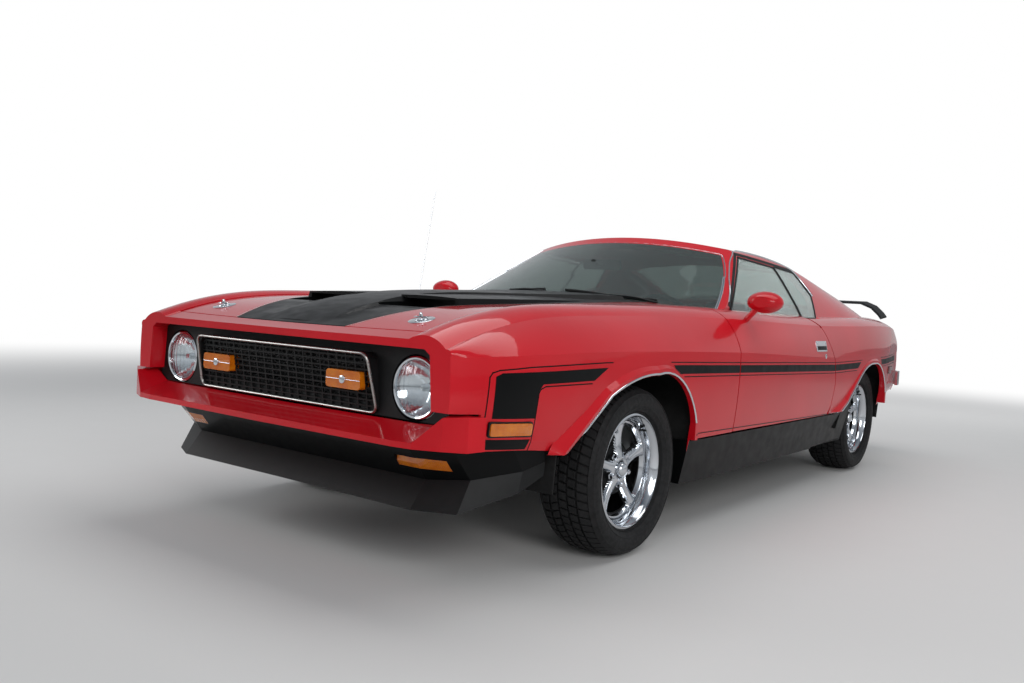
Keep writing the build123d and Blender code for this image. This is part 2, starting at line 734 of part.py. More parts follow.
def grille():
    x, z = HEADLAMP
    front = HEADER_BACK + SEAT_CLEARANCE
    panel = block(-756, 756, front, front + BUCKET_WALL, 530, 762) & trim
    lamp_hole = Pos(out(x), 0, z) * Rot(90, 0, 0) * Cylinder(HEADLAMP_RADIUS + 12 + SEAT_CLEARANCE, 8000)
    panel = panel - lamp_hole - other_side(lamp_hole)
    outline = mirrored_front(GRILLE_OUTLINE)
    inner = mirrored_front([(x - GRILLE_EDGE, z + (GRILLE_EDGE if z < 600 else -GRILLE_EDGE))
                            for x, z in GRILLE_OUTLINE])
    surround = front_prism(outline, 60, front) - front_prism(inner, 50, front + 1) - ahead_of(GRILLE_FACE)
    slab_depth = ahead_of(MESH_FACE, 6) - ahead_of(MESH_FACE)
    levels = [MESH_FIRST_Z + i * MESH_PITCH_Z for i in range(MESH_ROWS)]
    bars = [block(-455, 455, 60, front, z, z + MESH_BAR) for z in levels]
    half = MESH_BAR / 2
    columns = [i * MESH_PITCH_X for i in range(-10, 11)]
    bars += [block(x - half, x + half, 60, front, 538, 720) for x in columns]
    mesh = (bars[0].fuse(*bars[1:]) & front_prism(outline, 60, front)) & slab_depth
    room_for_lamp = grille_lamp(SEAT_CLEARANCE)
    return solid(panel + surround + mesh - room_for_lamp - other_side(room_for_lamp))


def tyre(x, station):
    """A tyre about its own axle, with three grooves round the tread."""
    half = TYRE_WIDTH / 2
    r = TYRE_RADIUS
    b = BEAD_RADIUS + 10 + SEAT_CLEARANCE
    bead = RIM_WIDTH / 2 - 18
    lip = RIM_RADIUS + 2
    axis = Axis((0, at(station), TYRE_RADIUS), (1, 0, 0))
    plane = Plane(origin=(x, at(station), TYRE_RADIUS), x_dir=(1, 0, 0), z_dir=(0, -1, 0))
    edges = [
        Line((-bead, b), (bead, b)),
        Line((bead, b), (bead, lip)),
        ThreePointArc((bead, lip), (half, (b + r) / 2 + 2), (half - 22, r - 14)),
        ThreePointArc((half - 22, r - 14), (half - 27, r - 6), (half - 38, r - 3)),
        ThreePointArc((half - 38, r - 3), (0, r), (-half + 38, r - 3)),
        ThreePointArc((-half + 38, r - 3), (-half + 27, r - 6), (-half + 22, r - 14)),
        ThreePointArc((-half + 22, r - 14), (-half, (b + r) / 2 + 2), (-bead, lip)),
        Line((-bead, lip), (-bead, b)),
    ]
    body = revolve(plane * Face(Wire(edges)), axis)
    for offset in (-45, 0, 45):
        groove = make_face(Polyline((offset - 4, r - 8), (offset + 4, r - 8), (offset + 5, r + 4),
                                    (offset - 5, r + 4), close=True))
        body = body - revolve(plane * groove, axis)
    return solid(body)


def rim(x, station, side):
    """A wheel with a deep bright barrel and five spokes; side is +1 for the left."""
    axis = Axis((0, at(station), TYRE_RADIUS), (1, 0, 0))
    plane = Plane(origin=(x, at(station), TYRE_RADIUS), x_dir=(side, 0, 0), z_dir=(0, -side, 0))
    w = RIM_WIDTH / 2
    b = BEAD_RADIUS
    lip = RIM_RADIUS
    barrel = Polyline(
        (-w, lip), (-w + 8, lip), (-w + 12, b + 10), (w - 16, b + 10), (w - 8, lip), (w, lip),
        (w, lip - 7), (w - 12, b), (w - 34, b - 12), (20, b - 18), (-w + 14, b), (-w, lip - 8),
        close=True)
    body = revolve(plane * make_face(barrel), axis)
    face = w - RIM_FACE_DEPTH
    disc = Polyline(
        (face - 34, HUB_RADIUS + SEAT_CLEARANCE), (face + 6, HUB_RADIUS + SEAT_CLEARANCE),
        (face + 6, 62), (face + 2, 80), (face - 4, 120), (face + 8, b - 10), (face - 8, b - 10),
        (face - 18, 120), (face - 16, 80), (face - 34, 70), close=True)
    wheel = revolve(plane * make_face(disc), axis)
    for i in range(SPOKES):
        turn = i * 360 / SPOKES + 36
        cut = Plane(origin=(x, at(station), TYRE_RADIUS), x_dir=(0, 1, 0), z_dir=(1, 0, 0))
        window = Polyline((-30, 84), (30, 84), (76, 148), (58, 164), (0, 174), (-58, 164), (-76, 148),
                          close=True)
        wheel = wheel - extrude(cut.rotated((turn, 0, 0)) * make_face(window), 120, both=True)
    return solid(body + wheel)


def front_knuckle(side):
    """Upright, spindle and brake disc that steer with the front wheel."""
    x = FRONT_WHEEL_X * side
    pin_x = x - KINGPIN_INSET * side
    y = at(FRONT_AXLE)
    z = TYRE_RADIUS
    upright = Pos(pin_x, y, z + 10) * (Box(22, 60, 190) + Cylinder(KINGPIN_RADIUS, 240))
    face = x + (RIM_WIDTH / 2 - RIM_FACE_DEPTH - 34) * side
    near, far = sorted((pin_x + 10 * side, face + 30 * side))
    spindle = rod_x(HUB_RADIUS, near, far, FRONT_AXLE, z)
    near, far = sorted((pin_x + 16 * side, pin_x + 38 * side))
    disc = rod_x(DISC_RADIUS, near, far, FRONT_AXLE, z)
    near, far = sorted((face - 20 * side, face - SEAT_CLEARANCE * side))
    flange = rod_x(64, near, far, FRONT_AXLE, z)
    return solid(upright + spindle + disc + flange)


def front_crossmember():
    y = at(FRONT_AXLE)
    beam = Pos(0, y, 235) * Box(2 * (APRON_X - SEAT_CLEARANCE), 120, 50)
    pin_x = FRONT_WHEEL_X - KINGPIN_INSET
    arms = Part()
    for z in (TYRE_RADIUS - 110 - 8 - SEAT_CLEARANCE, TYRE_RADIUS + 130 + 8 + SEAT_CLEARANCE):
        arm = plan_prism([(420, 930), (690, 985), (pin_x + 14, 995), (pin_x + 14, 1025), (690, 1035),
                          (420, 1090)], z - 8, z + 8)
        arms = arms + arm
    post = Pos(430, y, 350) * Box(40, 110, 240)
    left = arms + post
    return solid(beam + left + other_side(left))


def engine_bay():
    """Aprons, arch liners, radiator support and firewall: the sheet metal under the hood."""
    under_hood = lower_body(HOOD_WALL + 6, 400)
    apron = block(APRON_X, APRON_X + FLOOR_WALL, 232, 1640, 226, 900) & under_hood
    apron = apron - block(470, 490, 920, 1100, TYRE_RADIUS + 120, TYRE_RADIUS + 160)
    liner_out = [(488, 300), (488, 640), (690, 735), (1010, 752), (1330, 735), (1412, 640), (1412, 300)]
    liner_in = [(1406, 300), (1406, 636), (1326, 729), (1010, 746), (694, 729), (494, 636), (494, 300)]
    liner = side_prism(liner_out + liner_in, APRON_X, 1000)
    liner = liner - block(765, 1000, 1380, 1420, 200, DOOR_BOTTOM - 7 + SEAT_CLEARANCE)
    pillar = block(766, 846, 1648, 1778, DOOR_BOTTOM - 7 + SEAT_CLEARANCE, 920)
    gutter = block(APRON_X, 766, 1648, 1880, 834, 840)
    x, station, z = HOOD_HINGE
    pin = rod_x(HINGE_PIN_RADIUS, x - HINGE_ARM / 2 - 6, 770, station, z)
    left = (apron + liner + pillar + gutter + pin) & trim
    notch = block(650, 690, 1600, 1700, 842, 900)
    wall = block(-765, 765, 1640, 1648, 260, 878) - block(-128, 128, 1600, 1700, 200, 432)
    wall = wall - notch - other_side(notch)
    radiator = block(-APRON_X, APRON_X, 232, 262, 300, 800) & under_hood
    return radiator + (wall & trim) + left + other_side(left)


def hinge_bracket():
    """Plates on the pillar that hold the door's hinge pins."""
    plates = Part()
    pin_y = at(DOOR_FRONT) - DOOR_HINGE_SETBACK
    for z in DOOR_HINGES:
        for level in (z - 6, z + HINGE_HEIGHT + SEAT_CLEARANCE):
            plates = plates + Pos(846, pin_y - 8, level) * Box(
                DOOR_HINGE_X + 6 - 846, 16, 6 - SEAT_CLEARANCE, align=(Align.MIN,) * 3)
        plates = plates + Pos(DOOR_HINGE_X, pin_y, z - 6) * Cylinder(
            HINGE_PIN_RADIUS, HINGE_HEIGHT + 12, align=UPRIGHT)
    return plates


def door_hinge_arms():
    pin_y = at(DOOR_FRONT) - DOOR_HINGE_SETBACK
    arms = Part()
    for z in DOOR_HINGES:
        def bar(x0, x1, y0, y1):
            return Pos(DOOR_HINGE_X + x0, pin_y + y0, z) * Box(
                x1 - x0, y1 - y0, HINGE_HEIGHT, align=(Align.MIN,) * 3)
        barrel = Pos(DOOR_HINGE_X, pin_y, z) * Cylinder(8, HINGE_HEIGHT, align=UPRIGHT)
        arm = barrel + bar(-62, 0, -7, 7) + bar(-62, -42, -7, DOOR_HINGE_SETBACK + 2)
        bore = Pos(DOOR_HINGE_X, pin_y, z - 1) * Cylinder(
            HINGE_PIN_RADIUS + SEAT_CLEARANCE, HINGE_HEIGHT + 2, align=UPRIGHT)
        arms = arms + (arm - bore)
    return arms


# Floor from the side, front to back (station, z)
FLOOR_LINE = ((1648.3, 560), (1840, 240), (2950, 240), (3120, 400), (3330, 430), (3470, 520), (4120, 520),
              (4240, 400), (4640, 400), (4664, 420))


def floor_pan():
    lower = [(s, z) for s, z in FLOOR_LINE]
    upper = [(s + 3, z + FLOOR_WALL) for s, z in reversed(FLOOR_LINE)]
    sheet = side_prism(lower + upper, -765, 765)
    tub_line = [(3230, 300), (3400, 590), (3600, 690), (3779, 712), (3970, 680), (4110, 560), (4130, 300)]
    tub = side_prism(tub_line, 594, 1000)
    tub_room = side_prism([(3238, 290), (3406, 586), (3603, 684), (3779, 706), (3966, 674), (4104, 557),
                           (4124, 290)], 600, 1010)
    cut = tub_room + side_prism([(3235, 200), (3235, 300), (4127, 300), (4127, 200)], 600, 1010)
    cut = cut + block(590, 605, REAR_AXLE - 60, REAR_AXLE + 60, 200, 430)
    floor = (sheet + tub + other_side(tub)) - cut - other_side(cut)
    tunnel = side_prism([(1500, 100), (1500, 420), (1900, 400), (3300, 380), (3300, 100)], -120, 120)
    cover = side_prism([(1660, 230), (1660, 426), (1900, 406), (3120, 386), (3120, 230)], -126, 126)
    floor = (floor - tunnel) + ((cover - tunnel) & block(-200, 200, 1649, 3140, 240, 600))
    for s0, s1, z0, z1 in ((3150, 3180, 314, 404), (4385, 4415, 338, 403)):
        bracket = block(536, 584, s0, s1, z0 + SEAT_CLEARANCE, z1)
        floor = floor + bracket + other_side(bracket)
    return solid(floor & trim)


def seat(x0, x1):
    outline = [(2190, 246.3), (2640, 246.3), (2700, 420), (2900, 850), (2905, 975), (2830, 985), (2775, 850),
               (2620, 470), (2230, 500), (2170, 450)]
    cushion = side_prism(outline, x0, x1)
    return cushion


def front_seats():
    return both(seat(150, 620))


def rear_seat():
    outline = [(3126, 406.8), (3332, 436.3), (3472.5, 526.6), (3490, 526.6), (3560, 800), (3480, 815),
               (3330, 590), (3130, 600)]
    return side_prism(outline, -560, 560)


def dashboard():
    outline = [(1648.3, 640), (1960, 640), (1985, 760), (1940, 850), (1850, 884), (1648.3, 878)]
    hinge_room = block(470, 770, 1640, 1886, 820, 900)
    board = side_prism(outline, -740, 740) & lower_body(40, 400)
    return solid(board - hinge_room - other_side(hinge_room))


def steering_wheel():
    centre = Vector(STEERING_X, at(2150), 800)
    tilt = Rot(-68, 0, 0)
    ring = Pos(*centre) * tilt * Torus(185, 12)
    hub = Pos(*centre) * tilt * Cylinder(42, 30)
    spokes = Part()
    for turn in (0, 120, 240):
        spokes = spokes + Pos(*centre) * tilt * Rot(0, 0, turn + 90) * Pos(95, 0, 0) * Box(190, 26, 8)
    column = rod(24, tuple(centre), (STEERING_X, at(1985.5), 741))
    return solid(ring + hub + spokes + column - dashboard())


def engine_block():
    return block(-270, 270, 700, 1450, 300, 790)


def drive_line():
    z = TYRE_RADIUS
    flange = Plane(origin=(0, at(1450.3), z + 10), z_dir=(0, 1, 0))
    gearbox = extrude(flange * Circle(98), at(2150) - at(1450.3), taper=3)
    shaft = rod(36, (0, at(2100), z + 8), (0, at(REAR_AXLE) - 128, z))
    return solid(gearbox + shaft)


# Leaf spring from the side (station, z)
LEAF_SPRING = [(3160, 288), (3450, 232), (3779, 212), (4100, 236), (4400, 312), (4400, 338), (4100, 262),
               (3779, 240), (3450, 258), (3160, 314)]


def rear_axle():
    """Tube and centre case with a drum, hub, leaf spring and spring clamp at each end."""
    z = TYRE_RADIUS
    face = REAR_WHEEL_X + RIM_WIDTH / 2 - RIM_FACE_DEPTH - 34
    axle = rod_x(AXLE_TUBE_RADIUS, -(face - 70), face - 70, REAR_AXLE, z)
    case = Rot(0, 90, 0) * Sphere(AXLE_CASE_RADIUS)
    axle = axle + Pos(0, at(REAR_AXLE), z) * case
    for side in (1, -1):
        drum = sorted((side * (face - 80), side * (face - SEAT_CLEARANCE)))
        hub = sorted((side * (face - 10), side * (face + 30)))
        spring = sorted(side * x for x in SPRING_X)
        plate = sorted(side * x for x in SPRING_PLATE_X)
        axle = axle + block(*plate, 3720, 3838, SPRING_PLATE_Z[side], z - 20)
        axle = axle + side_prism(LEAF_SPRING, *spring)
        axle = axle + rod_x(DRUM_RADIUS, *drum, REAR_AXLE, z)
        axle = axle + rod_x(HUB_RADIUS, *hub, REAR_AXLE, z)
    return solid(axle)


def exhaust():
    """Two pipes, each with a silencer that hangs against the floor."""
    radius = 28
    silencer = 62
    low = FLOOR_LINE[1][1] - SEAT_CLEARANCE - silencer
    run = ((1300, low), (3440, low), (3600, 400), (3970, 400), (4130, 300), (4720, 300))
    pipes = Part()
    for (s0, z0), (s1, z1) in zip(run, run[1:]):
        a = (EXHAUST_X, at(s0), z0)
        b = (EXHAUST_X, at(s1), z1)
        pipes = pipes + rod(radius, a, b)
        if s1 != run[-1][0]:
            pipes = pipes + Pos(*b) * Sphere(radius)
    muffler = Pos(EXHAUST_X, at(2700), low) * Rot(90, 0, 0) * Cylinder(silencer, 480)
    return both(solid(pipes + muffler))


def fuel_tank():
    return block(-330, 330, 4250, 4640, 250, 400 - SEAT_CLEARANCE)


def tail_panel():
    sheet = block(-900, 900, 4668, 4680, 500, 1000)
    return solid(sheet & trim)


def tail_lamps():
    lamps = Part()
    for x0, x1 in TAIL_LAMPS:
        lamps = lamps + block(x0, x1, 4680.3, 4712, 610, 770)
    return both(lamps)


def rear_bumper():
    outline = [(0, 4813), (690, 4800), (806, 4762), (866, 4700), (880, 4600), (862, 4600),
               (852, 4700.5), (0, 4700.5)]
    outline = outline + [(-x, s) for x, s in reversed(outline[1:-1])]
    return solid(plan_prism(outline, 486, 580))


def rear_valance():
    rows = ((0, 4702, 485.7, 4690, 400, 0),
            (640, 4702, 485.7, 4684, 400, 0),
            (790, 4702, 485.7, 4680, 410, 3))
    pad = block(-150, 150, 4684, PLATE_FACE, 408, 476)
    valance = ribbon(rows, 8) + pad
    for x in (-PLATE_BOLT_SPACING / 2, PLATE_BOLT_SPACING / 2):
        hole = Pos(x, at(PLATE_FACE), PLATE_BOLT_Z) * Rot(90, 0, 0) * Cylinder(PLATE_BOLT_RADIUS, 80)
        valance = valance - hole
    return solid(valance)


# Wing on the rear deck: half-width and height of each slice
WING = ((0, 1036), (630, 1034), (700, 1006), (748, 962), (768, 936))


def rear_spoiler():
    rows = [(-x, z) for x, z in reversed(WING) if x > 0] + list(WING)
    wires = []
    for x, z in rows:
        y = at(WING_FRONT)
        points = [(y, z - 8), (y + 20, z + 6), (y + WING_CHORD, z + 16), (y + WING_CHORD, z + 8)]
        wires.append(Wire.make_polygon([Vector(out(x), py, pz) for py, pz in points], close=True))
    blade = Solid.make_loft(wires, ruled=True)
    leg = side_prism([(4540, 900), (4550, 1034), (4630, 1040), (4640, 880)], 430, 450)
    leg = leg - lower_body(-SEAT_CLEARANCE)
    return solid(blade + leg + other_side(leg))


def mirror_left():
    rows = ((1935, 34, 24), (1960, 70, 40), (2010, 78, 46), (2018, 74, 42))
    wires = []
    for s, w, h in rows:
        plane = Plane(origin=(948, at(s), 966), x_dir=(1, 0, 0), z_dir=(0, 1, 0))
        wires.append((plane * Ellipse(w, h)).wire())
    head = Solid.make_loft(wires)
    foot = Vector(868, at(1975), 880)
    stalk = rod(13, tuple(foot), (930, at(1975), 950))
    return solid((head + stalk) - lower_body(-SEAT_CLEARANCE))


def antenna():
    base = Vector(-800, at(1610), 900)
    mast = rod(2.5, tuple(base), (-790, at(1692), 1475))
    cap = Pos(*base) * Cylinder(14, 60)
    return solid((mast + cap) - lower_body(-SEAT_CLEARANCE))


def save(name, shape):
    export_step(shape, f"parts/{name}.step")


def save_pair(name, shape):
    save(name + "_left", shape)
    save(name + "_right", other_side(shape))


def main():
    os.makedirs("parts", exist_ok=True)
    for piece in (front_bumper, nose_panel, hood, cowl_panel, windscreen, rear_window, front_valance,
                  chin_spoiler, parking_lamps, headlamps, grille, grille_lamps, front_crossmember,
                  floor_pan, front_seats, rear_seat, dashboard, steering_wheel, engine_block, drive_line,
                  rear_axle, exhaust, fuel_tank, tail_panel, tail_lamps, rear_bumper, rear_valance,
                  rear_spoiler, antenna, trunk_lid, quarter_windows, body_shell):
        save(piece.__name__, piece())
        print(piece.__name__)
    brackets = hinge_bracket()
    save("engine_bay", solid(engine_bay() + brackets + other_side(brackets)))
    save_pair("front_fender", fender_left())
    save_pair("door", solid(door_left() + door_hinge_arms()))
    save_pair("door_glass", door_glass_left())
    save_pair("rocker", rocker_left())
    save_pair("mirror", mirror_left())
    for end, station, x in (("front", FRONT_AXLE, FRONT_WHEEL_X), ("rear", REAR_AXLE, REAR_WHEEL_X)):
        save_pair("tyre_" + end, tyre(x, station))
        save_pair("rim_" + end, rim(x, station, 1))
    save_pair("knuckle", front_knuckle(1))


if __name__ == "__main__":
    main()
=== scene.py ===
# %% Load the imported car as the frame
import json
import math
import bpy
import bmesh
import numpy as np
from mathutils import Matrix, Vector
from mathutils.bvhtree import BVHTree


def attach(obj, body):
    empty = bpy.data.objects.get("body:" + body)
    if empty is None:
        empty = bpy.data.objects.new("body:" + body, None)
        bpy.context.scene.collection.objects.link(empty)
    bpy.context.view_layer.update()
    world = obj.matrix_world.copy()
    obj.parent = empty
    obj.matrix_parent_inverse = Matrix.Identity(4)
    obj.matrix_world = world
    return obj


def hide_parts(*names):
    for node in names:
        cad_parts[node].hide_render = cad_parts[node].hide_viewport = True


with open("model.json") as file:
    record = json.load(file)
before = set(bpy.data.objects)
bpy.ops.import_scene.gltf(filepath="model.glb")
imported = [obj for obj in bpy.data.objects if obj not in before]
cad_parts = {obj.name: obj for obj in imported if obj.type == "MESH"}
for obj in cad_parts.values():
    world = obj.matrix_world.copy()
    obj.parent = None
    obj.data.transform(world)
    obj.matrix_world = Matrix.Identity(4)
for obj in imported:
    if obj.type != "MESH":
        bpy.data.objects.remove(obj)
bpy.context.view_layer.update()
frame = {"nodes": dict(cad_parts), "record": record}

nodes = frame["nodes"]
MM = 0.001

# %% [markdown]
# # The car's own ruler
# A car is measured along its length by stations: millimetres behind the tip of the front bumper.
# The frame has its origin under the middle of the car with the nose towards -Y, so one function
# turns a station into a Y. Everything below is placed with stations, heights and half-widths.

# %% Stations and heights
LENGTH = 4813.0
AXLE_HEIGHT = 313.0
FRONT_AXLE, REAR_AXLE = 1010.0, 3779.0
SIDES = (("left", 1), ("right", -1))


def at(x, station, z):
    """A point in metres from a half-width, a station and a height in millimetres."""
    return Vector((x, station - LENGTH / 2, z)) * MM


print("front axle at", tuple(round(v, 3) for v in at(0, FRONT_AXLE, AXLE_HEIGHT)))

# %% [markdown]
# # The camera
# The photograph was taken from standing height off the car's left front corner. Position, heading,
# pitch and the slight roll of the horizon are those that put the wheels, lamps and roof of the
# real car where the picture has them. Lens and sensor width are in millimetres.

# %% Camera
CAMERA_PLACE = Vector((2.4705, -4.2482, 0.8984))
YAW, PITCH, ROLL = (math.radians(v) for v in (37.32, -2.4, 3.08))
LENS, SENSOR_WIDTH, FARTHEST = 31.4, 36, 200
ahead = Vector((-math.sin(YAW) * math.cos(PITCH), math.cos(YAW) * math.cos(PITCH),
                math.sin(PITCH)))
level = ahead.cross(Vector((0, 0, 1))).normalized()
above = level.cross(ahead)
right = level * math.cos(ROLL) + above * math.sin(ROLL)
up = above * math.cos(ROLL) - level * math.sin(ROLL)
camera = bpy.data.objects.new("camera", bpy.data.cameras.new("camera"))
bpy.context.scene.collection.objects.link(camera)
camera.matrix_world = Matrix((
    (right.x, up.x, -ahead.x, CAMERA_PLACE.x),
    (right.y, up.y, -ahead.y, CAMERA_PLACE.y),
    (right.z, up.z, -ahead.z, CAMERA_PLACE.z),
    (0, 0, 0, 1)))
camera.data.lens, camera.data.sensor_width, camera.data.clip_end = LENS, SENSOR_WIDTH, FARTHEST
bpy.context.scene.camera = camera
bpy.context.scene.view_settings.view_transform = "Standard"
print("camera looks along", tuple(round(v, 3) for v in ahead))

# %% [markdown]
# # Colours and nodes
# Colours are written as the sRGB values that a paint chart gives, and one function turns them into
# the linear numbers that a shader wants. One more function adds a node with its settings and its
# links, so that a material reads as a short list of what feeds what.

# %% Colour and node helpers
NOISE_SPAN = (0.3, 0.7)  # the middle of the noise, where most of its values lie


def linear(code):
    """Linear RGBA from an sRGB hex colour."""
    parts = [int(code[i:i + 2], 16) / 255 for i in (0, 2, 4)]
    curve = [c / 12.92 if c <= 0.04045 else ((c + 0.055) / 1.055) ** 2.4 for c in parts]
    return (*curve, 1.0)


def add(tree, kind, links=None, **settings):
    """Adds a node; settings are its attributes or socket values, links are socket -> output."""
    new = tree.nodes.new(kind)
    for key, value in settings.items():
        if hasattr(new, key):
            setattr(new, key, value)
        else:
            new.inputs[key.replace("_", " ")].default_value = value
    for key, output in (links or {}).items():
        tree.links.new(output, new.inputs[key])
    return new


def finish(name, colour, roughness, metallic=0.0, **sockets):
    """A material with its main shader: returns the material, its tree and the shader."""
    material = bpy.data.materials.new(name)
    material.use_nodes = True
    tree = material.node_tree
    shader = tree.nodes["Principled BSDF"]
    shader.inputs["Base Color"].default_value = linear(colour)
    shader.inputs["Roughness"].default_value = roughness
    shader.inputs["Metallic"].default_value = metallic
    for key, value in sockets.items():
        shader.inputs[key.replace("_", " ")].default_value = value
    material.diffuse_color = linear(colour)
    return material, tree, shader


def wander(tree, size_mm, detail):
    """Noise in patches of about size_mm."""
    place = add(tree, "ShaderNodeTexCoord")
    return add(tree, "ShaderNodeTexNoise", {"Vector": place.outputs["Object"]},
               Scale=1 / (size_mm * MM), Detail=detail)


def mottle(tree, shader, light, dark, size_mm, detail=4.0):
    """Lets the colour wander between two tones in patches of about size_mm."""
    noise = wander(tree, size_mm, detail)
    ramp = add(tree, "ShaderNodeValToRGB", {"Fac": noise.outputs["Fac"]})
    for stop, position, tone in zip(ramp.color_ramp.elements, NOISE_SPAN, (dark, light)):
        stop.position, stop.color = position, linear(tone)
    tree.links.new(ramp.outputs["Color"], shader.inputs["Base Color"])


def relief(tree, shader, height, depth_mm, strength=0.5):
    """Bumps the surface by a height between 0 and 1, depth_mm deep at full strength."""
    bump = add(tree, "ShaderNodeBump", {"Height": height}, Strength=strength, Distance=depth_mm * MM)
    tree.links.new(bump.outputs["Normal"], shader.inputs["Normal"])


def uneven(tree, shader, size_mm, low, high):
    """Roughness that wanders between two values in patches of about size_mm."""
    noise = wander(tree, size_mm, 3.0)
    span = add(tree, "ShaderNodeMapRange", {"Value": noise.outputs["Fac"]},
               From_Min=NOISE_SPAN[0], From_Max=NOISE_SPAN[1], To_Min=low, To_Max=high)
    tree.links.new(span.outputs["Result"], shader.inputs["Roughness"])


print("red", [round(v, 3) for v in linear("C4101E")])

# %% [markdown]
# # Studio
# Glossy paint and chrome show their surroundings more than their own colour, so the studio matters.
# The world is white where the camera or a mirror-like ray meets it, softly darker overhead, which
# gives a car the long bright band along its shoulders. Broad lamps above and in front shape it.

# %% World and lamps
world = bpy.data.worlds.new("studio")
bpy.context.scene.world = world
world.use_nodes = True
sky = world.node_tree
sky.nodes.clear()
ray = add(sky, "ShaderNodeLightPath")
direction = add(sky, "ShaderNodeTexCoord")
axes = add(sky, "ShaderNodeSeparateXYZ", {"Vector": direction.outputs["Generated"]})
dome = add(sky, "ShaderNodeValToRGB", {"Fac": axes.outputs["Z"]})
stops = dome.color_ramp.elements
stops[0].position, stops[0].color = 0.0, linear("C9CACB")
stops[1].position, stops[1].color = 0.95, linear("5F6873")
middle = stops.new(0.22)
middle.color = linear("DDE0E4")
rays = ray.outputs
seen = add(sky, "ShaderNodeMath", {0: rays["Is Glossy Ray"], 1: rays["Is Transmission Ray"]},
           operation="MAXIMUM")
lit = add(sky, "ShaderNodeBackground", {"Color": dome.outputs["Color"]}, Strength=0.75)
mirrored = add(sky, "ShaderNodeBackground", {"Color": dome.outputs["Color"]}, Strength=0.8)
white = add(sky, "ShaderNodeBackground", Strength=1.0)
white.inputs["Color"].default_value = (1, 1, 1, 1)
glossy = add(sky, "ShaderNodeMixShader",
             {0: seen.outputs[0], 1: lit.outputs[0], 2: mirrored.outputs[0]})
shown = add(sky, "ShaderNodeMixShader",
            {0: rays["Is Camera Ray"], 1: glossy.outputs[0], 2: white.outputs[0]})
add(sky, "ShaderNodeOutputWorld", {"Surface": shown.outputs[0]})

LAMPS = (
    # name, place, looks at, width, length, watts
    ("overhead", (0.5, 0.0, 5.2), (0, 0, 0.6), 3.0, 7.0, 150),
    ("front_left", (5.5, -5.0, 3.2), (0.4, -0.8, 0.6), 3.5, 2.5, 150),
    ("front_right", (-5.0, -5.0, 3.0), (0, -0.5, 0.6), 3.0, 2.5, 90),
    ("rear", (0.0, 6.5, 3.2), (0, 1.0, 0.7), 4.0, 2.0, 90),
)
for name, place, target, width, length, watts in LAMPS:
    lamp = bpy.data.lights.new("lamp_" + name, "AREA")
    lamp.shape = "RECTANGLE"
    lamp.size, lamp.size_y, lamp.energy = width, length, watts
    holder = bpy.data.objects.new("lamp_" + name, lamp)
    holder.location = place
    holder.rotation_euler = (Vector(target) - Vector(place)).to_track_quat("-Z", "Y").to_euler()
    holder.visible_glossy = name != "rear"
    bpy.context.scene.collection.objects.link(holder)
print("lamps", len(LAMPS))

# %% [markdown]
# # Floor
# The floor is part of the studio and not of the car. Near the car it is a matt pale surface that
# takes shadows. Further out it turns into plain white, so that no edge shows behind the car.

# %% Floor
FLOOR_HALF = 60.0
FADE_START, FADE_END = 4.5, 11.0
floor_mesh = bpy.data.meshes.new("studio_floor")
floor_corners = [(x * FLOOR_HALF, y * FLOOR_HALF, 0) for x, y in ((-1, -1), (1, -1), (1, 1), (-1, 1))]
floor_mesh.from_pydata(floor_corners, [], [(0, 1, 2, 3)])
studio_floor = bpy.data.objects.new("studio_floor", floor_mesh)
bpy.context.scene.collection.objects.link(studio_floor)
floor_finish, floor_tree, floor_shader = finish("pale studio floor", "DAD9D7", 0.75)
uneven(floor_tree, floor_shader, 220, 0.68, 0.82)
spot = add(floor_tree, "ShaderNodeTexCoord")
far = add(floor_tree, "ShaderNodeVectorMath", {0: spot.outputs["Object"]}, operation="LENGTH")
fade = add(floor_tree, "ShaderNodeMapRange", {"Value": far.outputs["Value"]}, From_Min=FADE_START,
           From_Max=FADE_END, interpolation_type="SMOOTHSTEP")
eye = add(floor_tree, "ShaderNodeLightPath")
both = add(floor_tree, "ShaderNodeMath", {0: fade.outputs["Result"], 1: eye.outputs["Is Camera Ray"]},
           operation="MULTIPLY")
glow = add(floor_tree, "ShaderNodeEmission", Strength=1.0)
floor_end = floor_tree.nodes["Material Output"]
blend = add(floor_tree, "ShaderNodeMixShader",
            {0: both.outputs[0], 1: floor_shader.outputs[0], 2: glow.outputs[0]})
floor_tree.links.new(blend.outputs[0], floor_end.inputs["Surface"])
floor_mesh.materials.append(floor_finish)
print("floor", FLOOR_HALF * 2, "m wide")

# %% [markdown]
# # Paint
# The body is acrylic enamel over primer, sprayed and polished: a strong red with a clear, wet gloss.
# A coat layer gives the sharp reflection, the base under it stays softer. Sprayed paint is never
# quite flat, so a faint orange peel, drawn coarser than the real half millimetre, bends the light.

# %% Body paint and black paint
PEEL_WIDTH = 9


def enamel(name, colour, roughness, coat, peel):
    """Sprayed enamel with orange peel; coat is the share of clear gloss over it."""
    material, tree, shader = finish(name, colour, roughness, Coat_Weight=coat, Coat_Roughness=0.04,
                                    Specular_IOR_Level=0.1, Coat_IOR=1.32)
    relief(tree, shader, wander(tree, PEEL_WIDTH, 2.0).outputs["Fac"], peel, 0.2)
    return material, tree, shader


body_paint, tree, shader = enamel("red acrylic enamel", "C8101F", 0.38, 1.0, 0.05)
mottle(tree, shader, "CB1221", "BE0D1B", 420, 2.0)
bumper_paint, tree, shader = enamel("red flexible bumper enamel", "C8101F", 0.42, 0.8, 0.05)
mottle(tree, shader, "CA1120", "BC0D1B", 300, 2.0)
black_paint, tree, shader = enamel("satin black enamel", "090A0B", 0.45, 0.15, 0.06)
uneven(tree, shader, 60, 0.36, 0.48)
print("paints", body_paint.name, black_paint.name)

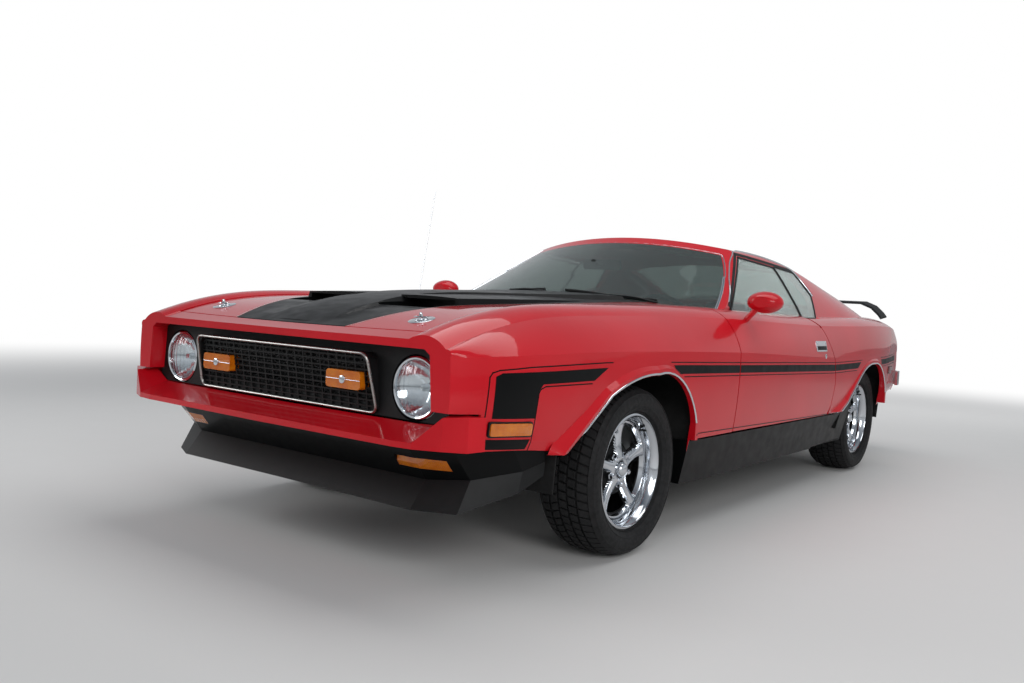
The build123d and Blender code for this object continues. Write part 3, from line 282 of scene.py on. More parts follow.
# %% [markdown]
# # Black parts
# Grille, valance and chin spoiler are moulded or pressed and flat black. Mouldings of this
# kind have a fine leather-like grain. The real grain is under a millimetre, so it is drawn near
# two millimetres wide to show at all.

# %% Plastics, rubber and underbody
def moulded(name, colour, shade, roughness, grain_mm, depth_mm):
    """A moulded plastic or vinyl with a leather-like grain of cells grain_mm wide."""
    material, tree, shader = finish(name, colour, roughness, Specular_IOR_Level=0.3)
    mottle(tree, shader, colour, shade, 35)
    place = add(tree, "ShaderNodeTexCoord")
    cells = add(tree, "ShaderNodeTexVoronoi", {"Vector": place.outputs["Object"]},
                Scale=1 / (grain_mm * MM))
    relief(tree, shader, cells.outputs["Distance"], depth_mm, 0.35)
    return material


black_plastic = moulded("grained black plastic", "121314", "0B0C0D", 0.55, 2.0, 0.15)
dash_plastic = moulded("grained dash vinyl", "1D1C1C", "131212", 0.6, 2.4, 0.2)
wheel_rim_plastic = moulded("smooth steering wheel plastic", "161616", "0E0E0E", 0.4, 3.0, 0.08)
seat_vinyl = moulded("black seat vinyl", "232122", "171617", 0.5, 2.2, 0.25)
underbody_paint = moulded("sound-deadening underbody coat", "1B1B1B", "101010", 0.85, 6.0, 0.9)

tyre_rubber, tree, shader = finish("tyre rubber", "1A1A1B", 0.72, Specular_IOR_Level=0.3)
mottle(tree, shader, "202021", "151516", 22)
uneven(tree, shader, 14, 0.62, 0.82)
print("plastics and rubber", black_plastic.name, tyre_rubber.name)

# %% [markdown]
# # Bright metal
# Chrome plate is nearly a mirror with a cold tint. What makes it read as real is the fine haze and
# dust that breaks the mirror up in patches, so its roughness wanders. Castings and tubes are duller.

# %% Metals
chrome, tree, shader = finish("chrome plate", "D9DCE0", 0.08, 1.0)
uneven(tree, shader, 45, 0.04, 0.14)
wheel_chrome, tree, shader = finish("wheel chrome", "CDD1D6", 0.1, 1.0)
uneven(tree, shader, 30, 0.05, 0.18)
cast_metal, tree, shader = finish("cast iron with road dust", "3A3836", 0.7, 0.6)
mottle(tree, shader, "4A4642", "2C2A29", 18)
pipe_steel, tree, shader = finish("aluminised pipe steel", "8E8C88", 0.42, 1.0)
mottle(tree, shader, "9A9792", "6E6A66", 40)
tank_steel, tree, shader = finish("zinc coated sheet steel", "7D7F80", 0.5, 0.9)
mottle(tree, shader, "8A8C8D", "636567", 55)
print("metals", chrome.name, cast_metal.name, pipe_steel.name, tank_steel.name)

# %% [markdown]
# # Glass and lenses
# Side and rear glass is tinted safety glass a few millimetres thick. The lamp lenses are pressed
# acrylic: clear in the headlamps, amber and red elsewhere, with ribs on the inside that spread the
# light. The ribs are a wave in the bump, a few millimetres apart.

# %% Glass
WAVES_PER_METRE = 0.314  # the wave texture's scale for one rib per metre
clear_glass, tree, shader = finish("tinted safety glass", "A9B6B1", 0.02, Transmission_Weight=0.92,
                                   IOR=1.5)
uneven(tree, shader, 120, 0.01, 0.05)


def ribbed(tree, shader, rib_mm, direction, depth_mm):
    """Ribs rib_mm apart as a wave in the bump."""
    place = add(tree, "ShaderNodeTexCoord")
    wave = add(tree, "ShaderNodeTexWave", {"Vector": place.outputs["Object"]},
               bands_direction=direction, Scale=WAVES_PER_METRE / (rib_mm * MM))
    relief(tree, shader, wave.outputs["Fac"], depth_mm, 0.6)


def lens(name, colour, shade, rib_mm, direction):
    """Coloured acrylic with ribs rib_mm apart."""
    material, tree, shader = finish(name, colour, 0.12, Coat_Weight=0.6, Transmission_Weight=0.25)
    mottle(tree, shader, colour, shade, 40)
    ribbed(tree, shader, rib_mm, direction, 1.0)
    return material


lamp_glass, tree, shader = finish("pressed lamp glass", "F2F6F8", 0.03, Transmission_Weight=1.0,
                                  IOR=1.5)
ribbed(tree, shader, 22, "X", 1.2)
amber_lens = lens("ribbed amber acrylic", "F08A12", "D96C0A", 6.0, "X")
red_lens = lens("ribbed red acrylic", "8E0F14", "6E090E", 9.0, "Z")
print("glass and lenses", clear_glass.name, amber_lens.name, red_lens.name)

# %% [markdown]
# # Materials onto the solids
# The frame's record gives each solid a slot name. One table says which material a slot gets, and
# the pieces drawn later use the same names. Edges sharper than a set angle stay crisp.

# %% Materials onto the solids
SOLID_CREASE = math.radians(28)
SLOTS = {
    "body_paint": body_paint, "bumper_paint": bumper_paint, "black_paint": black_paint,
    "black_plastic": black_plastic, "clear_glass": clear_glass, "lamp_glass": lamp_glass,
    "amber_lens": amber_lens, "red_lens": red_lens, "chrome": chrome, "wheel_chrome": wheel_chrome,
    "tyre_rubber": tyre_rubber, "seat_vinyl": seat_vinyl, "dash_plastic": dash_plastic,
    "wheel_rim_plastic": wheel_rim_plastic, "underbody_paint": underbody_paint, "cast_metal": cast_metal,
    "pipe_steel": pipe_steel, "tank_steel": tank_steel,
}
for part in frame["record"]["subparts"]:
    solid = nodes[part["node"]]
    solid.data.materials.clear()
    solid.data.materials.append(SLOTS[part["material_slot"]])
    solid.data.shade_smooth()
    solid.data.set_sharp_from_angle(angle=SOLID_CREASE)

# %% [markdown]
# # Paint films and stripes
# The black side stripe and the black hood middle are masked and sprayed on the panels, so they
# follow every curve. Modelling them as their own shapes would leave gaps or steps. Instead the
# panel's own faces are copied, trimmed with straight cuts and lifted by less than half a millimetre.

# %% Trimming a copy of a panel
LIFT = 0.45 * MM
SIDE_VIEW = (1, 2)
TOP_VIEW = (0, 1)


def flat_cuts(patch, view):
    """The cutting planes of a convex patch, given as corners in metres in a view's two axes."""
    middle = [sum(c[k] for c in patch) / len(patch) for k in (0, 1)]
    for (a0, a1), (b0, b1) in zip(patch, patch[1:] + patch[:1]):
        point, normal = Vector((0, 0, 0)), Vector((0, 0, 0))
        point[view[0]], point[view[1]] = a0, a1
        normal[view[0]], normal[view[1]] = b1 - a1, a0 - b0
        if normal[view[0]] * (middle[0] - a0) + normal[view[1]] * (middle[1] - a1) > 0:
            normal.negate()
        yield point, normal


def film(name, node, facing, patches, view, slot, body="car_body", material=None, lift=LIFT,
         least=0.12, beyond=0.6):
    """Copies a CAD panel's faces inside convex patches as a thin film.

    Only faces count that look along facing by at least least and lie at least beyond metres out.
    """
    mesh = nodes[node].data
    facing = Vector(facing)
    points = np.array([v.co for v in mesh.vertices])
    whole = bmesh.new()
    for patch in patches:
        low = [min(c[k] for c in patch) for k in (0, 1)]
        high = [max(c[k] for c in patch) for k in (0, 1)]
        cut = bmesh.new()
        made = {}
        for face in mesh.polygons:
            if face.normal.dot(facing) < least or face.center.dot(facing) < beyond:
                continue
            corners = points[list(face.vertices)]
            if any(corners[:, axis].max() < low[k] or corners[:, axis].min() > high[k]
                   for k, axis in enumerate(view)):
                continue
            ring = []
            for index in face.vertices:
                if index not in made:
                    made[index] = cut.verts.new(mesh.vertices[index].co)
                ring.append(made[index])
            cut.faces.new(ring)
        for point, normal in flat_cuts(patch, view):
            bmesh.ops.bisect_plane(cut, geom=cut.verts[:] + cut.edges[:] + cut.faces[:], dist=1e-7,
                                   plane_co=point, plane_no=normal, clear_outer=True)
        part = bpy.data.meshes.new(name)
        cut.to_mesh(part)
        cut.free()
        whole.from_mesh(part)
        bpy.data.meshes.remove(part)
    bmesh.ops.remove_doubles(whole, verts=whole.verts[:], dist=2e-5)
    whole.normal_update()
    for vert in whole.verts:
        vert.co += vert.normal * lift
    return shape(name, whole, slot, body, material=material)


def shape(name, mesh, slot, body="car_body", smooth=35, material=None):
    """Turns a bmesh or (points, faces) into a piece on a body; its slot gives the material."""
    data = bpy.data.meshes.new(name)
    if isinstance(mesh, bmesh.types.BMesh):
        mesh.to_mesh(data)
        mesh.free()
    else:
        data.from_pydata([tuple(p) for p in mesh[0]], [], mesh[1])
        data.update()
    piece = bpy.data.objects.new(name, data)
    bpy.context.scene.collection.objects.link(piece)
    data.materials.append(material or SLOTS[slot])
    data.shade_smooth()
    if smooth:
        data.set_sharp_from_angle(angle=math.radians(smooth))
    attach(piece, body)
    return piece


print("films stand", round(LIFT / MM, 2), "mm proud")

# %% [markdown]
# # The side stripe
# A wide bar runs back along the crease. On the front fender it turns down in front of the wheel as a
# broad block, with the amber marker and one more small block under it. Thin lines outline all of it.
# The stripe's corners come from the photograph, read on the flank and rounded to whole sizes.

# %% Stripe tables and films
BAR_TOP = ((470, 699), (700, 703), (1215, 702), (1795, 690), (3062, 665), (3400, 668), (4640, 690))
BAR_BOTTOM = ((378, 659), (650, 662), (1217, 668), (1795, 657), (3062, 631), (3400, 634), (4640, 656))
BLOCK = ((177, 563), (183, 686), (206, 696), (361, 642), (352, 556))
BLOCK_ARM = ((206, 696), (470, 699), (470, 660), (378, 659))
BLOCK_CORNER = ((206, 696), (378, 659), (361, 642))
LOW_BLOCK = ((153, 503), (338, 493), (328, 462), (150, 472))
OUTLINE_HIGH = ((148, 470), (163, 684), (172, 697), (196, 704), (321, 712), (715, 720), (1201, 713),
                (1790, 701), (3062, 676), (3400, 679), (4640, 701))
OUTLINE_LOW = ((342, 457), (357, 630), (366, 644), (389, 652), (637, 653), (1217, 657), (1795, 646),
               (3062, 620), (3400, 623), (4640, 645))
SILL_LINE = ((1300, 424), (1834, 417), (3085, 396))
LINE_WIDTH = 4.0


def in_view(corners):
    """Station and height in millimetres to Y and Z in metres."""
    return [((s - LENGTH / 2) * MM, z * MM) for s, z in corners]


def bar(top, bottom, low_start, high_start, low_end, high_end):
    """Convex patches between two polylines, with ends that slant along the wheel arches."""
    start, end = max(low_start, high_start), min(low_end, high_end)
    stations = sorted({s for s, _ in top + bottom if start < s < end} | {start, end})

    def height(line, station):
        return float(np.interp(station, [p[0] for p in line], [p[1] for p in line]))

    rows = [((low_start, height(bottom, low_start)), (high_start, height(top, high_start)))]
    rows += [((s, height(bottom, s)), (s, height(top, s))) for s in stations]
    rows.append(((low_end, height(bottom, low_end)), (high_end, height(top, high_end))))
    patches = []
    for (low0, high0), (low1, high1) in zip(rows, rows[1:]):
        ring = [low0, low1, high1, high0]
        ring = [c for k, c in enumerate(ring) if c != ring[k - 1]]
        if len(ring) > 2:
            patches.append(in_view(ring))
    return patches


def thin_line(route, start, end, width=LINE_WIDTH):
    """Convex patches of a thin line along a route, cut off at two stations."""
    patches = []
    for (s0, z0), (s1, z1) in zip(route, route[1:]):
        if s1 <= start or s0 >= end:
            continue
        run = Vector((s1 - s0, z1 - z0)).normalized()
        a, b = Vector((s0, z0)) - run * width / 2, Vector((s1, z1)) + run * width / 2
        if a.x < start:
            a = a + run * (start - a.x) / run.x
        if b.x > end:
            b = b - run * (b.x - end) / run.x
        across = Vector((-run.y, run.x)) * width / 2
        patches.append(in_view([a + across, b + across, b - across, a - across]))
    return patches


# Where the bar and the lines show between the wheel arches: low start, high start, low end, high end
BAR_SPANS = ((470, 470, 648, 730), (1223, 1186, 3470, 3525), (4000, 3978, 4580, 4580))
HIGH_SPANS = ((140, 758), (1165, 3545), (3962, 4580))
LOW_SPANS = ((300, 637), (1274, 3455), (4010, 4580))
PANELS = (
    # node, its body
    ("front_fender_{}", "car_body"),
    ("door_{}", "{}_door"),
    ("body_shell", "car_body"),
)
stripe_patches = [in_view(area) for area in (BLOCK, BLOCK_ARM, BLOCK_CORNER, LOW_BLOCK)]
stripe_patches += thin_line(SILL_LINE, 1392, 3085)
for span in BAR_SPANS:
    stripe_patches += bar(BAR_TOP, BAR_BOTTOM, *span)
for route, spans in ((OUTLINE_HIGH, HIGH_SPANS), (OUTLINE_LOW, LOW_SPANS)):
    for start, end in spans:
        stripe_patches += thin_line(route, start, end)
for side, sign in SIDES:
    for node, body in PANELS:
        label = node.format(side) if "{" in node else node + "_" + side
        film("stripe_" + label, node.format(side), (sign, 0, 0), stripe_patches, SIDE_VIEW,
             "black_paint", body.format(side))
print("stripe patches", len(stripe_patches))

# %% [markdown]
# # The black hood
# The middle of the hood is masked and sprayed satin black, scoops and all, and runs on over the cowl
# to the windscreen. It widens towards the rear. A fine light line follows its edge on the red.

# %% Hood film and its outline
HOOD_BLACK = ((287, 126), (330, 250), (420, 550), (480, 1000), (548, 1650), (560, 1850))


def from_above(corners):
    """Half-width and station in millimetres to X and Y in metres."""
    return [(x * MM, (s - LENGTH / 2) * MM) for x, s in corners]


black_area = from_above(list(HOOD_BLACK) + [(-x, s) for x, s in reversed(HOOD_BLACK)])
for node, body in (("hood", "hood_panel"), ("cowl_panel", "car_body")):
    film("hood_black_" + node, node, (0, 0, 1), [black_area], TOP_VIEW, "black_paint", body, least=-0.1)
print("hood film corners", len(black_area))

# %% [markdown]
# # Finding the skin
# Trim sits on curved panels, so its place is found rather than guessed: a ray is shot at the panel
# and the trim goes where it lands, turned to the panel's own slope.

# %% Rays and sweeps
skins = {}


def touch(node, origin, direction):
    """Where a ray in millimetres meets a node or piece: the point and the outward normal, in metres."""
    if node not in skins:
        mesh = bpy.data.objects[node].data
        skins[node] = BVHTree.FromPolygons([v.co for v in mesh.vertices],
                                           [p.vertices[:] for p in mesh.polygons])
    direction = Vector(direction).normalized()
    point, normal, _, _ = skins[node].ray_cast(at(*origin), direction)
    if point is None:
        raise ValueError(f"nothing of {node} at {origin}")
    return point, (normal if normal.dot(direction) < 0 else -normal)


FROM_SIDE = 1300  # rays start at this half-width, well outside the car


def touch_side(node, sign, station, z):
    """Point and slope where a level ray from one side meets a node."""
    return touch(node, (sign * FROM_SIDE, station, z), (-sign, 0, 0))


def sweep(name, path, facings, section, slot, body="car_body", closed=False, material=None):
    """Draws a section of (across, out) millimetres along a path; facings say which way out is."""
    if isinstance(facings, Vector):
        facings = [facings] * len(path)
    points, faces = [], []
    count, size = len(path), len(section)
    for i, point in enumerate(path):
        before = path[i - 1] if i or closed else path[i]
        after = path[(i + 1) % count] if i + 1 < count or closed else path[i]
        along = (after - before).normalized()
        out = (facings[i] - along * facings[i].dot(along)).normalized()
        across = along.cross(out)
        points += [point + (across * a + out * o) * MM for a, o in section]
    for i in range(count if closed else count - 1):
        a, b = i * size, (i + 1) % count * size
        faces += [(a + k, a + (k + 1) % size, b + (k + 1) % size, b + k) for k in range(size)]
    if not closed:
        faces += [tuple(reversed(range(size))), tuple(range((count - 1) * size, count * size))]
    return shape(name, (points, faces), slot, body, material=material)


def half_round(width, height, steps=6):
    """A bead's section: flat foot sunk a little into the panel, round back."""
    arc = [(width / 2 * math.cos(math.pi * k / steps), height * math.sin(math.pi * k / steps))
           for k in range(steps + 1)]
    return [(width / 2, -1.5)] + arc + [(-width / 2, -1.5)]


WELD_GRID = 20000  # corners less than a twentieth of a millimetre apart count as one


def outline_of(node, facing, least=0.35, beyond=None):
    """The longest edge of the faces of a CAD node that face one way, as a closed path."""
    mesh = nodes[node].data
    facing = Vector(facing).normalized()
    seen_edges, spot = {}, {}
    for face in mesh.polygons:
        if face.normal.dot(facing) < least or (beyond is not None and not beyond(face.center)):
            continue
        ring = []
        for index in face.vertices:
            key = tuple(round(c * WELD_GRID) for c in mesh.vertices[index].co)
            spot[key] = mesh.vertices[index].co.copy()
            ring.append(key)
        for a, b in zip(ring, ring[1:] + ring[:1]):
            seen_edges[(a, b)] = seen_edges.get((a, b), 0) + 1
    border = {a: b for (a, b) in seen_edges if (b, a) not in seen_edges}
    loops = []
    while border:
        start, step = border.popitem()
        loop = [start]
        while step in border:
            loop.append(step)
            step = border.pop(step)
        loops.append(loop)
    length = {id(l): sum((spot[a] - spot[b]).length for a, b in zip(l, l[1:])) for l in loops}
    best = max(loops, key=lambda l: length[id(l)])
    return [spot[key] for key in best]


def even(path, step_mm, closed=True):
    """The same path with points an even step apart."""
    ring = path + path[:1] if closed else path
    reach = [0.0]
    for a, b in zip(ring, ring[1:]):
        reach.append(reach[-1] + (b - a).length)
    count = max(8, round(reach[-1] / (step_mm * MM)))
    marks = np.linspace(0, reach[-1], count + 1 if closed else count)[:count]
    axes = [[p[k] for p in ring] for k in range(3)]
    return [Vector([float(np.interp(m, reach, axis)) for axis in axes]) for m in marks]


skin, _ = touch("door_left", (1400, 2400, 600), (-1, 0, 0))
print("skin at the left door", tuple(round(v, 3) for v in skin))

# %% [markdown]
# # Window mouldings
# Bright stainless strips hide the joint between glass and body. They follow the very edge of each
# pane, so that edge is read from the glass itself, evened out and swept with a low half-round.

# %% Bright strips round the glass
GLASS_TRIM = (
    # name, node, which way the pane faces, width, height
    ("windscreen_moulding", "windscreen", (0, -0.8, 0.6), 15.0, 4.5),
    ("rear_window_moulding", "rear_window", (0, 0.4, 0.9), 15.0, 4.0),
)
for name, node, facing, width, height in GLASS_TRIM:
    path = even(outline_of(node, facing), 22)
    sweep(name, path, Vector(facing).normalized(), half_round(width, height), "chrome", closed=True)
for side, sign in SIDES:
    for node, body in (("door_glass_" + side, side + "_door"), ("quarter_windows", "car_body")):
        ring = outline_of(node, (sign, 0, 0.2), 0.4, lambda c, sign=sign: c.x * sign > 0)
        sweep(f"glass_seal_{node}_{side}", even(ring, 18), Vector((sign, 0, 0.25)),
              half_round(9, 3.5), "black_plastic", body, closed=True)
print("mouldings", len(GLASS_TRIM), "and a seal round each side window")

# %% [markdown]
# # Roof drip rail
# A thin bright bead runs along the roof's edge above the side windows and down behind them. Its
# route is a table of stations and heights, and rays from the side find the roof under it.

# %% Drip rail
RAIL = ((2010, 958), (2180, 1072), (2330, 1168), (2425, 1222), (2560, 1236), (2800, 1224),
        (3000, 1206), (3150, 1186), (3208, 1172), (3238, 1080), (3243, 1035))


def skin_path(node, sign, route):
    """Points and slopes along the skin under a route of stations and heights on one side."""
    flat = even([at(0, s, z) for s, z in route], 40, closed=False) + [at(0, *route[-1])]
    hits = [touch_side(node, sign, p.y / MM + LENGTH / 2, p.z / MM) for p in flat]
    return [point for point, _ in hits], [slope for _, slope in hits]


for side, sign in SIDES:
    sweep("drip_rail_" + side, *skin_path("body_shell", sign, RAIL), half_round(8, 6), "chrome")
print("drip rails", len(SIDES), "with", len(RAIL), "corners each")

# %% [markdown]
# # Front fenders
# The rim round the front wheel fades out towards its low front end. The frame's fender keeps it at
# full depth there, so each fender is replaced by a copy whose rim sinks back into the side.

# %% Fenders with a fading rim
RIM_FULL, RIM_GONE = 660.0, 470.0
RIM_STAND, RIM_REACH, RIM_FOOT = 15.0, 62.0, 434.0
RIM_BACK, FLANK = 860, 850 * MM
FOOT_SPAN = (420, 560)
RIM_START, RIM_BEND = Vector((500, 424)), Vector((742, 604))
rim_run = (RIM_BEND - RIM_START).normalized()
for side, sign in SIDES:
    source = nodes["front_fender_" + side]
    fender = source.copy()
    fender.data = source.data.copy()
    fender.name = "fender_" + side
    for key in list(fender.keys()):
        del fender[key]
    bpy.context.scene.collection.objects.link(fender)
    moved = 0
    for vert in fender.data.vertices:
        station, z = vert.co.y / MM + LENGTH / 2, vert.co.z / MM
        if station > RIM_BACK or z > RIM_FULL or abs(vert.co.x) < FLANK:
            continue
        if FOOT_SPAN[0] < station < FOOT_SPAN[1] and z < RIM_FOOT:
            vert.co.z = RIM_FOOT * MM
        from_edge = abs(rim_run.cross(Vector((station, z)) - RIM_START))
        fade = 1 - min(1.0, max(0.0, (z - RIM_GONE) / (RIM_FULL - RIM_GONE)))
        vert.co.x -= sign * RIM_STAND * fade * max(0.0, 1 - from_edge / RIM_REACH) * MM
        moved += 1
    fender.data.shade_smooth()
    fender.data.set_sharp_from_angle(angle=math.radians(50))
    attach(fender, "car_body")
    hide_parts(source.name)
    print("fender", side, "moved", moved)

# %% [markdown]
# # Sill ends
# Between the rocker and the rear tyre the lower body is sprayed black. A pressed panel runs on from
# the rocker with the same section, up behind the red edge and back to a round cut before the tyre.

# %% Panels from the rocker to the rear tyre
SILL_END_START, SILL_END_STOP, TYRE_CUT = 2886.0, 3486, 360.0
SECTION_STATION, SECTION_HEIGHTS, ROCKER_TOP = 2700, range(180, 591, 10), 400
SILL_ROWS, SILL_COLUMNS, SILL_INSET, RED_OVERLAP = 13, 46, 7, 12
RED_EDGE_S, RED_EDGE_Z = (2915, 3300, 3520), (281, 436, 578)
for side, sign in SIDES:
    section_x, section_z = [], []
    for z in SECTION_HEIGHTS:
        node = ("rocker_" if z < ROCKER_TOP else "door_") + side
        try:
            point, _ = touch_side(node, sign, SECTION_STATION, z)
        except ValueError:
            continue
        section_x.append(abs(point.x) / MM - SILL_INSET)
        section_z.append(z)
    points, faces = [], []
    columns = np.linspace(SILL_END_START, SILL_END_STOP, SILL_COLUMNS)
    for station in columns:
        reach = REAR_AXLE - station
        low = section_z[0] if reach >= TYRE_CUT else AXLE_HEIGHT + math.sqrt(TYRE_CUT ** 2 - reach ** 2)
        high = max(float(np.interp(station, RED_EDGE_S, RED_EDGE_Z)) + RED_OVERLAP, low + 1)
        for z in np.linspace(low, high, SILL_ROWS):
            points.append(at(sign * float(np.interp(z, section_z, section_x)), station, float(z)))
    for i in range(len(columns) - 1):
        for k in range(SILL_ROWS - 1):
            a, b = i * SILL_ROWS + k, (i + 1) * SILL_ROWS + k
            faces.append((a, b, b + 1, a + 1)[::sign])
    panel = shape("sill_end_" + side, (points, faces), "black_paint")
    sheet = panel.modifiers.new("sheet", "SOLIDIFY")
    sheet.thickness = 3 * MM
    sheet.offset = -1
    print("sill end", side, len(faces))

# %% [markdown]
# # Wheel arch mouldings
# The lips of the wheel openings carry a bright rolled moulding. Its route is the opening's own edge,
# from the same corners as the panels, and each point is dropped onto the flare from the side.

# %% Arch mouldings
FRONT_LIP = (((500, 424),), ((742, 604),), ((742, 604), (905, 656), (1060, 668)),
             ((1060, 668), (1285, 610), (1382, 470)))
REAR_LIP = (((2915, 281),), ((3300, 436),), ((3520, 578),), ((3520, 578), (3650, 636), (3795, 652)),
            ((3795, 652), (3960, 606), (4050, 470)))
LIP_INSET, FLARE_LEAST = 5.0, 0.8


def arc_through(first, over, last, steps=12):
    """Points of the arc through three points, first and last included."""
    (ax, ay), (bx, by), (cx, cy) = first, over, last
    d = 2 * (ax * (by - cy) + bx * (cy - ay) + cx * (ay - by))
    a2, b2, c2 = ax * ax + ay * ay, bx * bx + by * by, cx * cx + cy * cy
    ux = (a2 * (by - cy) + b2 * (cy - ay) + c2 * (ay - by)) / d
    uy = (a2 * (cx - bx) + b2 * (ax - cx) + c2 * (bx - ax)) / d
    start, end = (math.atan2(y - uy, x - ux) for x, y in (first, last))
    if end > start:
        end -= 2 * math.pi
    r = math.hypot(ax - ux, ay - uy)
    return [(ux + r * math.cos(t), uy + r * math.sin(t)) for t in np.linspace(start, end, steps)]


def lip_route(corners):
    """The opening's edge with its arcs drawn out, moved outwards by half a moulding."""
    route = []
    for piece in corners:
        route += list(piece) if len(piece) == 1 else arc_through(*piece)
    route = [Vector(p) for k, p in enumerate(route) if k == 0 or math.dist(p, route[k - 1]) > 1]
    dense = []
    for a, b in zip(route, route[1:]):
        count = max(1, round((b - a).length / 30))
        dense += [a.lerp(b, k / count) for k in range(count)]
    dense.append(route[-1])
    moved = []
    for k, spot in enumerate(dense):
        run = (dense[min(k + 1, len(dense) - 1)] - dense[max(k - 1, 0)]).normalized()
        moved.append(spot + Vector((-run.y, run.x)) * LIP_INSET)
    return moved


for side, sign in SIDES:
    for place, node, lip in (("front", "fender_" + side, FRONT_LIP), ("rear", "body_shell", REAR_LIP)):
        path, slopes = [], []
        for station, z in lip_route(lip):
            try:
                point, slope = touch_side(node, sign, station, z)
            except ValueError:
                continue
            if point.x * sign > FLARE_LEAST:
                path.append(point)
                slopes.append((slope + Vector((sign, 0, 0))).normalized())
        sweep(f"arch_moulding_{place}_{side}", path, slopes, half_round(9, 4), "chrome")
        print("arch", place, side, len(path))

# %% [markdown]
# # Turned and pressed pieces
# Lamp rims, caps and wheel trim are turned shapes, so they are drawn as half a section spun round an
# axis. Plates and lenses are outlines given a thickness, with their corners and edges rounded.

# %% Spinning and pressing
def spin(profile, centre, axis, steps=64):
    """Points and faces of a closed (radius, along) section in millimetres spun about an axis."""
    axis = Vector(axis).normalized()
    side_a = axis.orthogonal().normalized()
    side_b = axis.cross(side_a)
    points, faces, size = [], [], len(profile)
    for i in range(steps):
        turn = 2 * math.pi * i / steps
        ray_out = side_a * math.cos(turn) + side_b * math.sin(turn)
        points += [centre + (ray_out * r + axis * a) * MM for r, a in profile]
        a, b = i * size, (i + 1) % steps * size
        faces += [(a + k, a + (k + 1) % size, b + (k + 1) % size, b + k) for k in range(size)]
    return points, faces


def to_bmesh(points, faces):
    """A bmesh from points and faces."""
    whole = bmesh.new()
    verts = [whole.verts.new(p) for p in points]
    for face in faces:
        whole.faces.new([verts[i] for i in face])
    return whole


def spun(name, profile, centre, axis, slot, body="car_body", steps=64, smooth=35, material=None):
    """A turned piece."""
    whole = to_bmesh(*spin(profile, centre, axis, steps))
    bmesh.ops.remove_doubles(whole, verts=whole.verts[:], dist=1e-6)
    bmesh.ops.dissolve_degenerate(whole, edges=whole.edges[:], dist=1e-7)
    bmesh.ops.recalc_face_normals(whole, faces=whole.faces[:])
    return shape(name, whole, slot, body, smooth, material)


def rounded(corners, radius, steps=5):
    """The outline with each corner rounded off."""
    ring = []
    for k, corner in enumerate(corners):
        here = Vector(corner)
        to_last = Vector(corners[k - 1]) - here
        to_next = Vector(corners[(k + 1) % len(corners)]) - here
        cut = min(radius, to_last.length * 0.48, to_next.length * 0.48)
        a, b = here + to_last.normalized() * cut, here + to_next.normalized() * cut
        for i in range(steps + 1):
            t = i / steps
            ring.append(tuple(a * (1 - t) ** 2 + here * 2 * t * (1 - t) + b * t ** 2))
    return ring


def pressed(name, outline, place, across, upward, thickness, slot, body="car_body", edge=1.5,
            crown=0.0, sunk=1.0):
    """An outline in millimetres about a place, given a thickness and a rounded front edge."""
    across, upward = Vector(across).normalized(), Vector(upward).normalized()
    out = across.cross(upward).normalized()
    whole = bmesh.new()
    rings = []
    middle = Vector((sum(p[0] for p in outline), sum(p[1] for p in outline))) / len(outline)
    for depth, inset in ((-sunk, 0.0), (thickness - edge, 0.0),
                         (thickness - edge * 0.3, edge * 0.3), (thickness, edge)):
        ring = []
        for p in outline:
            flat = Vector(p)
            flat = flat + (middle - flat).normalized() * inset
            ring.append(whole.verts.new(place + (across * flat.x + upward * flat.y + out * depth) * MM))
        rings.append(ring)
    for low, high in zip(rings, rings[1:]):
        for k in range(len(outline)):
            whole.faces.new((low[k - 1], low[k], high[k], high[k - 1]))
    hub = whole.verts.new(place + (across * middle.x + upward * middle.y
                                   + out * (thickness + crown)) * MM)
    for k in range(len(outline)):
        whole.faces.new((rings[-1][k - 1], rings[-1][k], hub))
    whole.faces.new(rings[0])
    bmesh.ops.recalc_face_normals(whole, faces=whole.faces[:])
    return shape(name, whole, slot, body)


def panel_axes(slope, sign):
    """A side panel's own directions at a slope: along the car and up the panel."""
    along = (Vector((0, 1, 0)) - slope * slope.y) * sign
    return along, slope.cross(along)


def box(x0, x1, z0, z1):
    """The four corners of a rectangle."""
    return [(x0, z0), (x1, z0), (x1, z1), (x0, z1)]


FORWARD, BACKWARD = Vector((0, -1, 0)), Vector((0, 1, 0))
ACROSS, UP, DOWN = (1, 0, 0), (0, 0, 1), (0, 0, -1)
print("a rounded square of", len(rounded(box(-1, 1, -1, 1), 0.5)), "points")

# %% [markdown]
# # Headlamps
# A sealed beam is a glass bulb the size of a plate: a silvered bowl behind, a domed lens in front
# with upright flutes, and a bright ring that holds it in a black bucket. The solid of the frame is
# one block, so it is replaced by the real layers, which let light in and send it back.

# %% Sealed beam lamps
LAMP_X, LAMP_STATION, LAMP_Z = 619.0, 126.0, 630.0
silver, tree, shader = finish("silvered reflector", "E8EAEC", 0.12, 1.0)
uneven(tree, shader, 12, 0.08, 0.18)
LAMP_LAYERS = (
    # name, slot, its own material, steps, (radius, behind the lamp's plane) round the section
    ("bowl", "chrome", silver, 64, [(84, 4), (70, 24), (48, 42), (20, 54), (0, 57), (0, 60), (22, 57),
                                    (50, 45), (73, 26), (87, 4)]),
    ("lens", "lamp_glass", None, 64, [(0, -21), (30, -19.5), (58, -14), (78, -6), (86, 1), (86, 4),
                                      (77, -3), (57, -11), (30, -16.5), (0, -18)]),
    ("ring", "chrome", None, 64, [(85, 2), (87, -5), (92, -7), (97, -3), (99, 4), (99, 24), (95, 24),
                                  (88, 6)]),
    ("bulb_shield", "chrome", silver, 24, [(0, 20), (9, 22), (12, 30), (12, 52), (0, 56)]),
    ("bucket", "black_plastic", None, 64, [(99.5, 6), (102, 8), (102, 28), (92, 60), (60, 92), (0, 104),
                                           (0, 100), (58, 88), (88, 58), (98, 26)]),
)
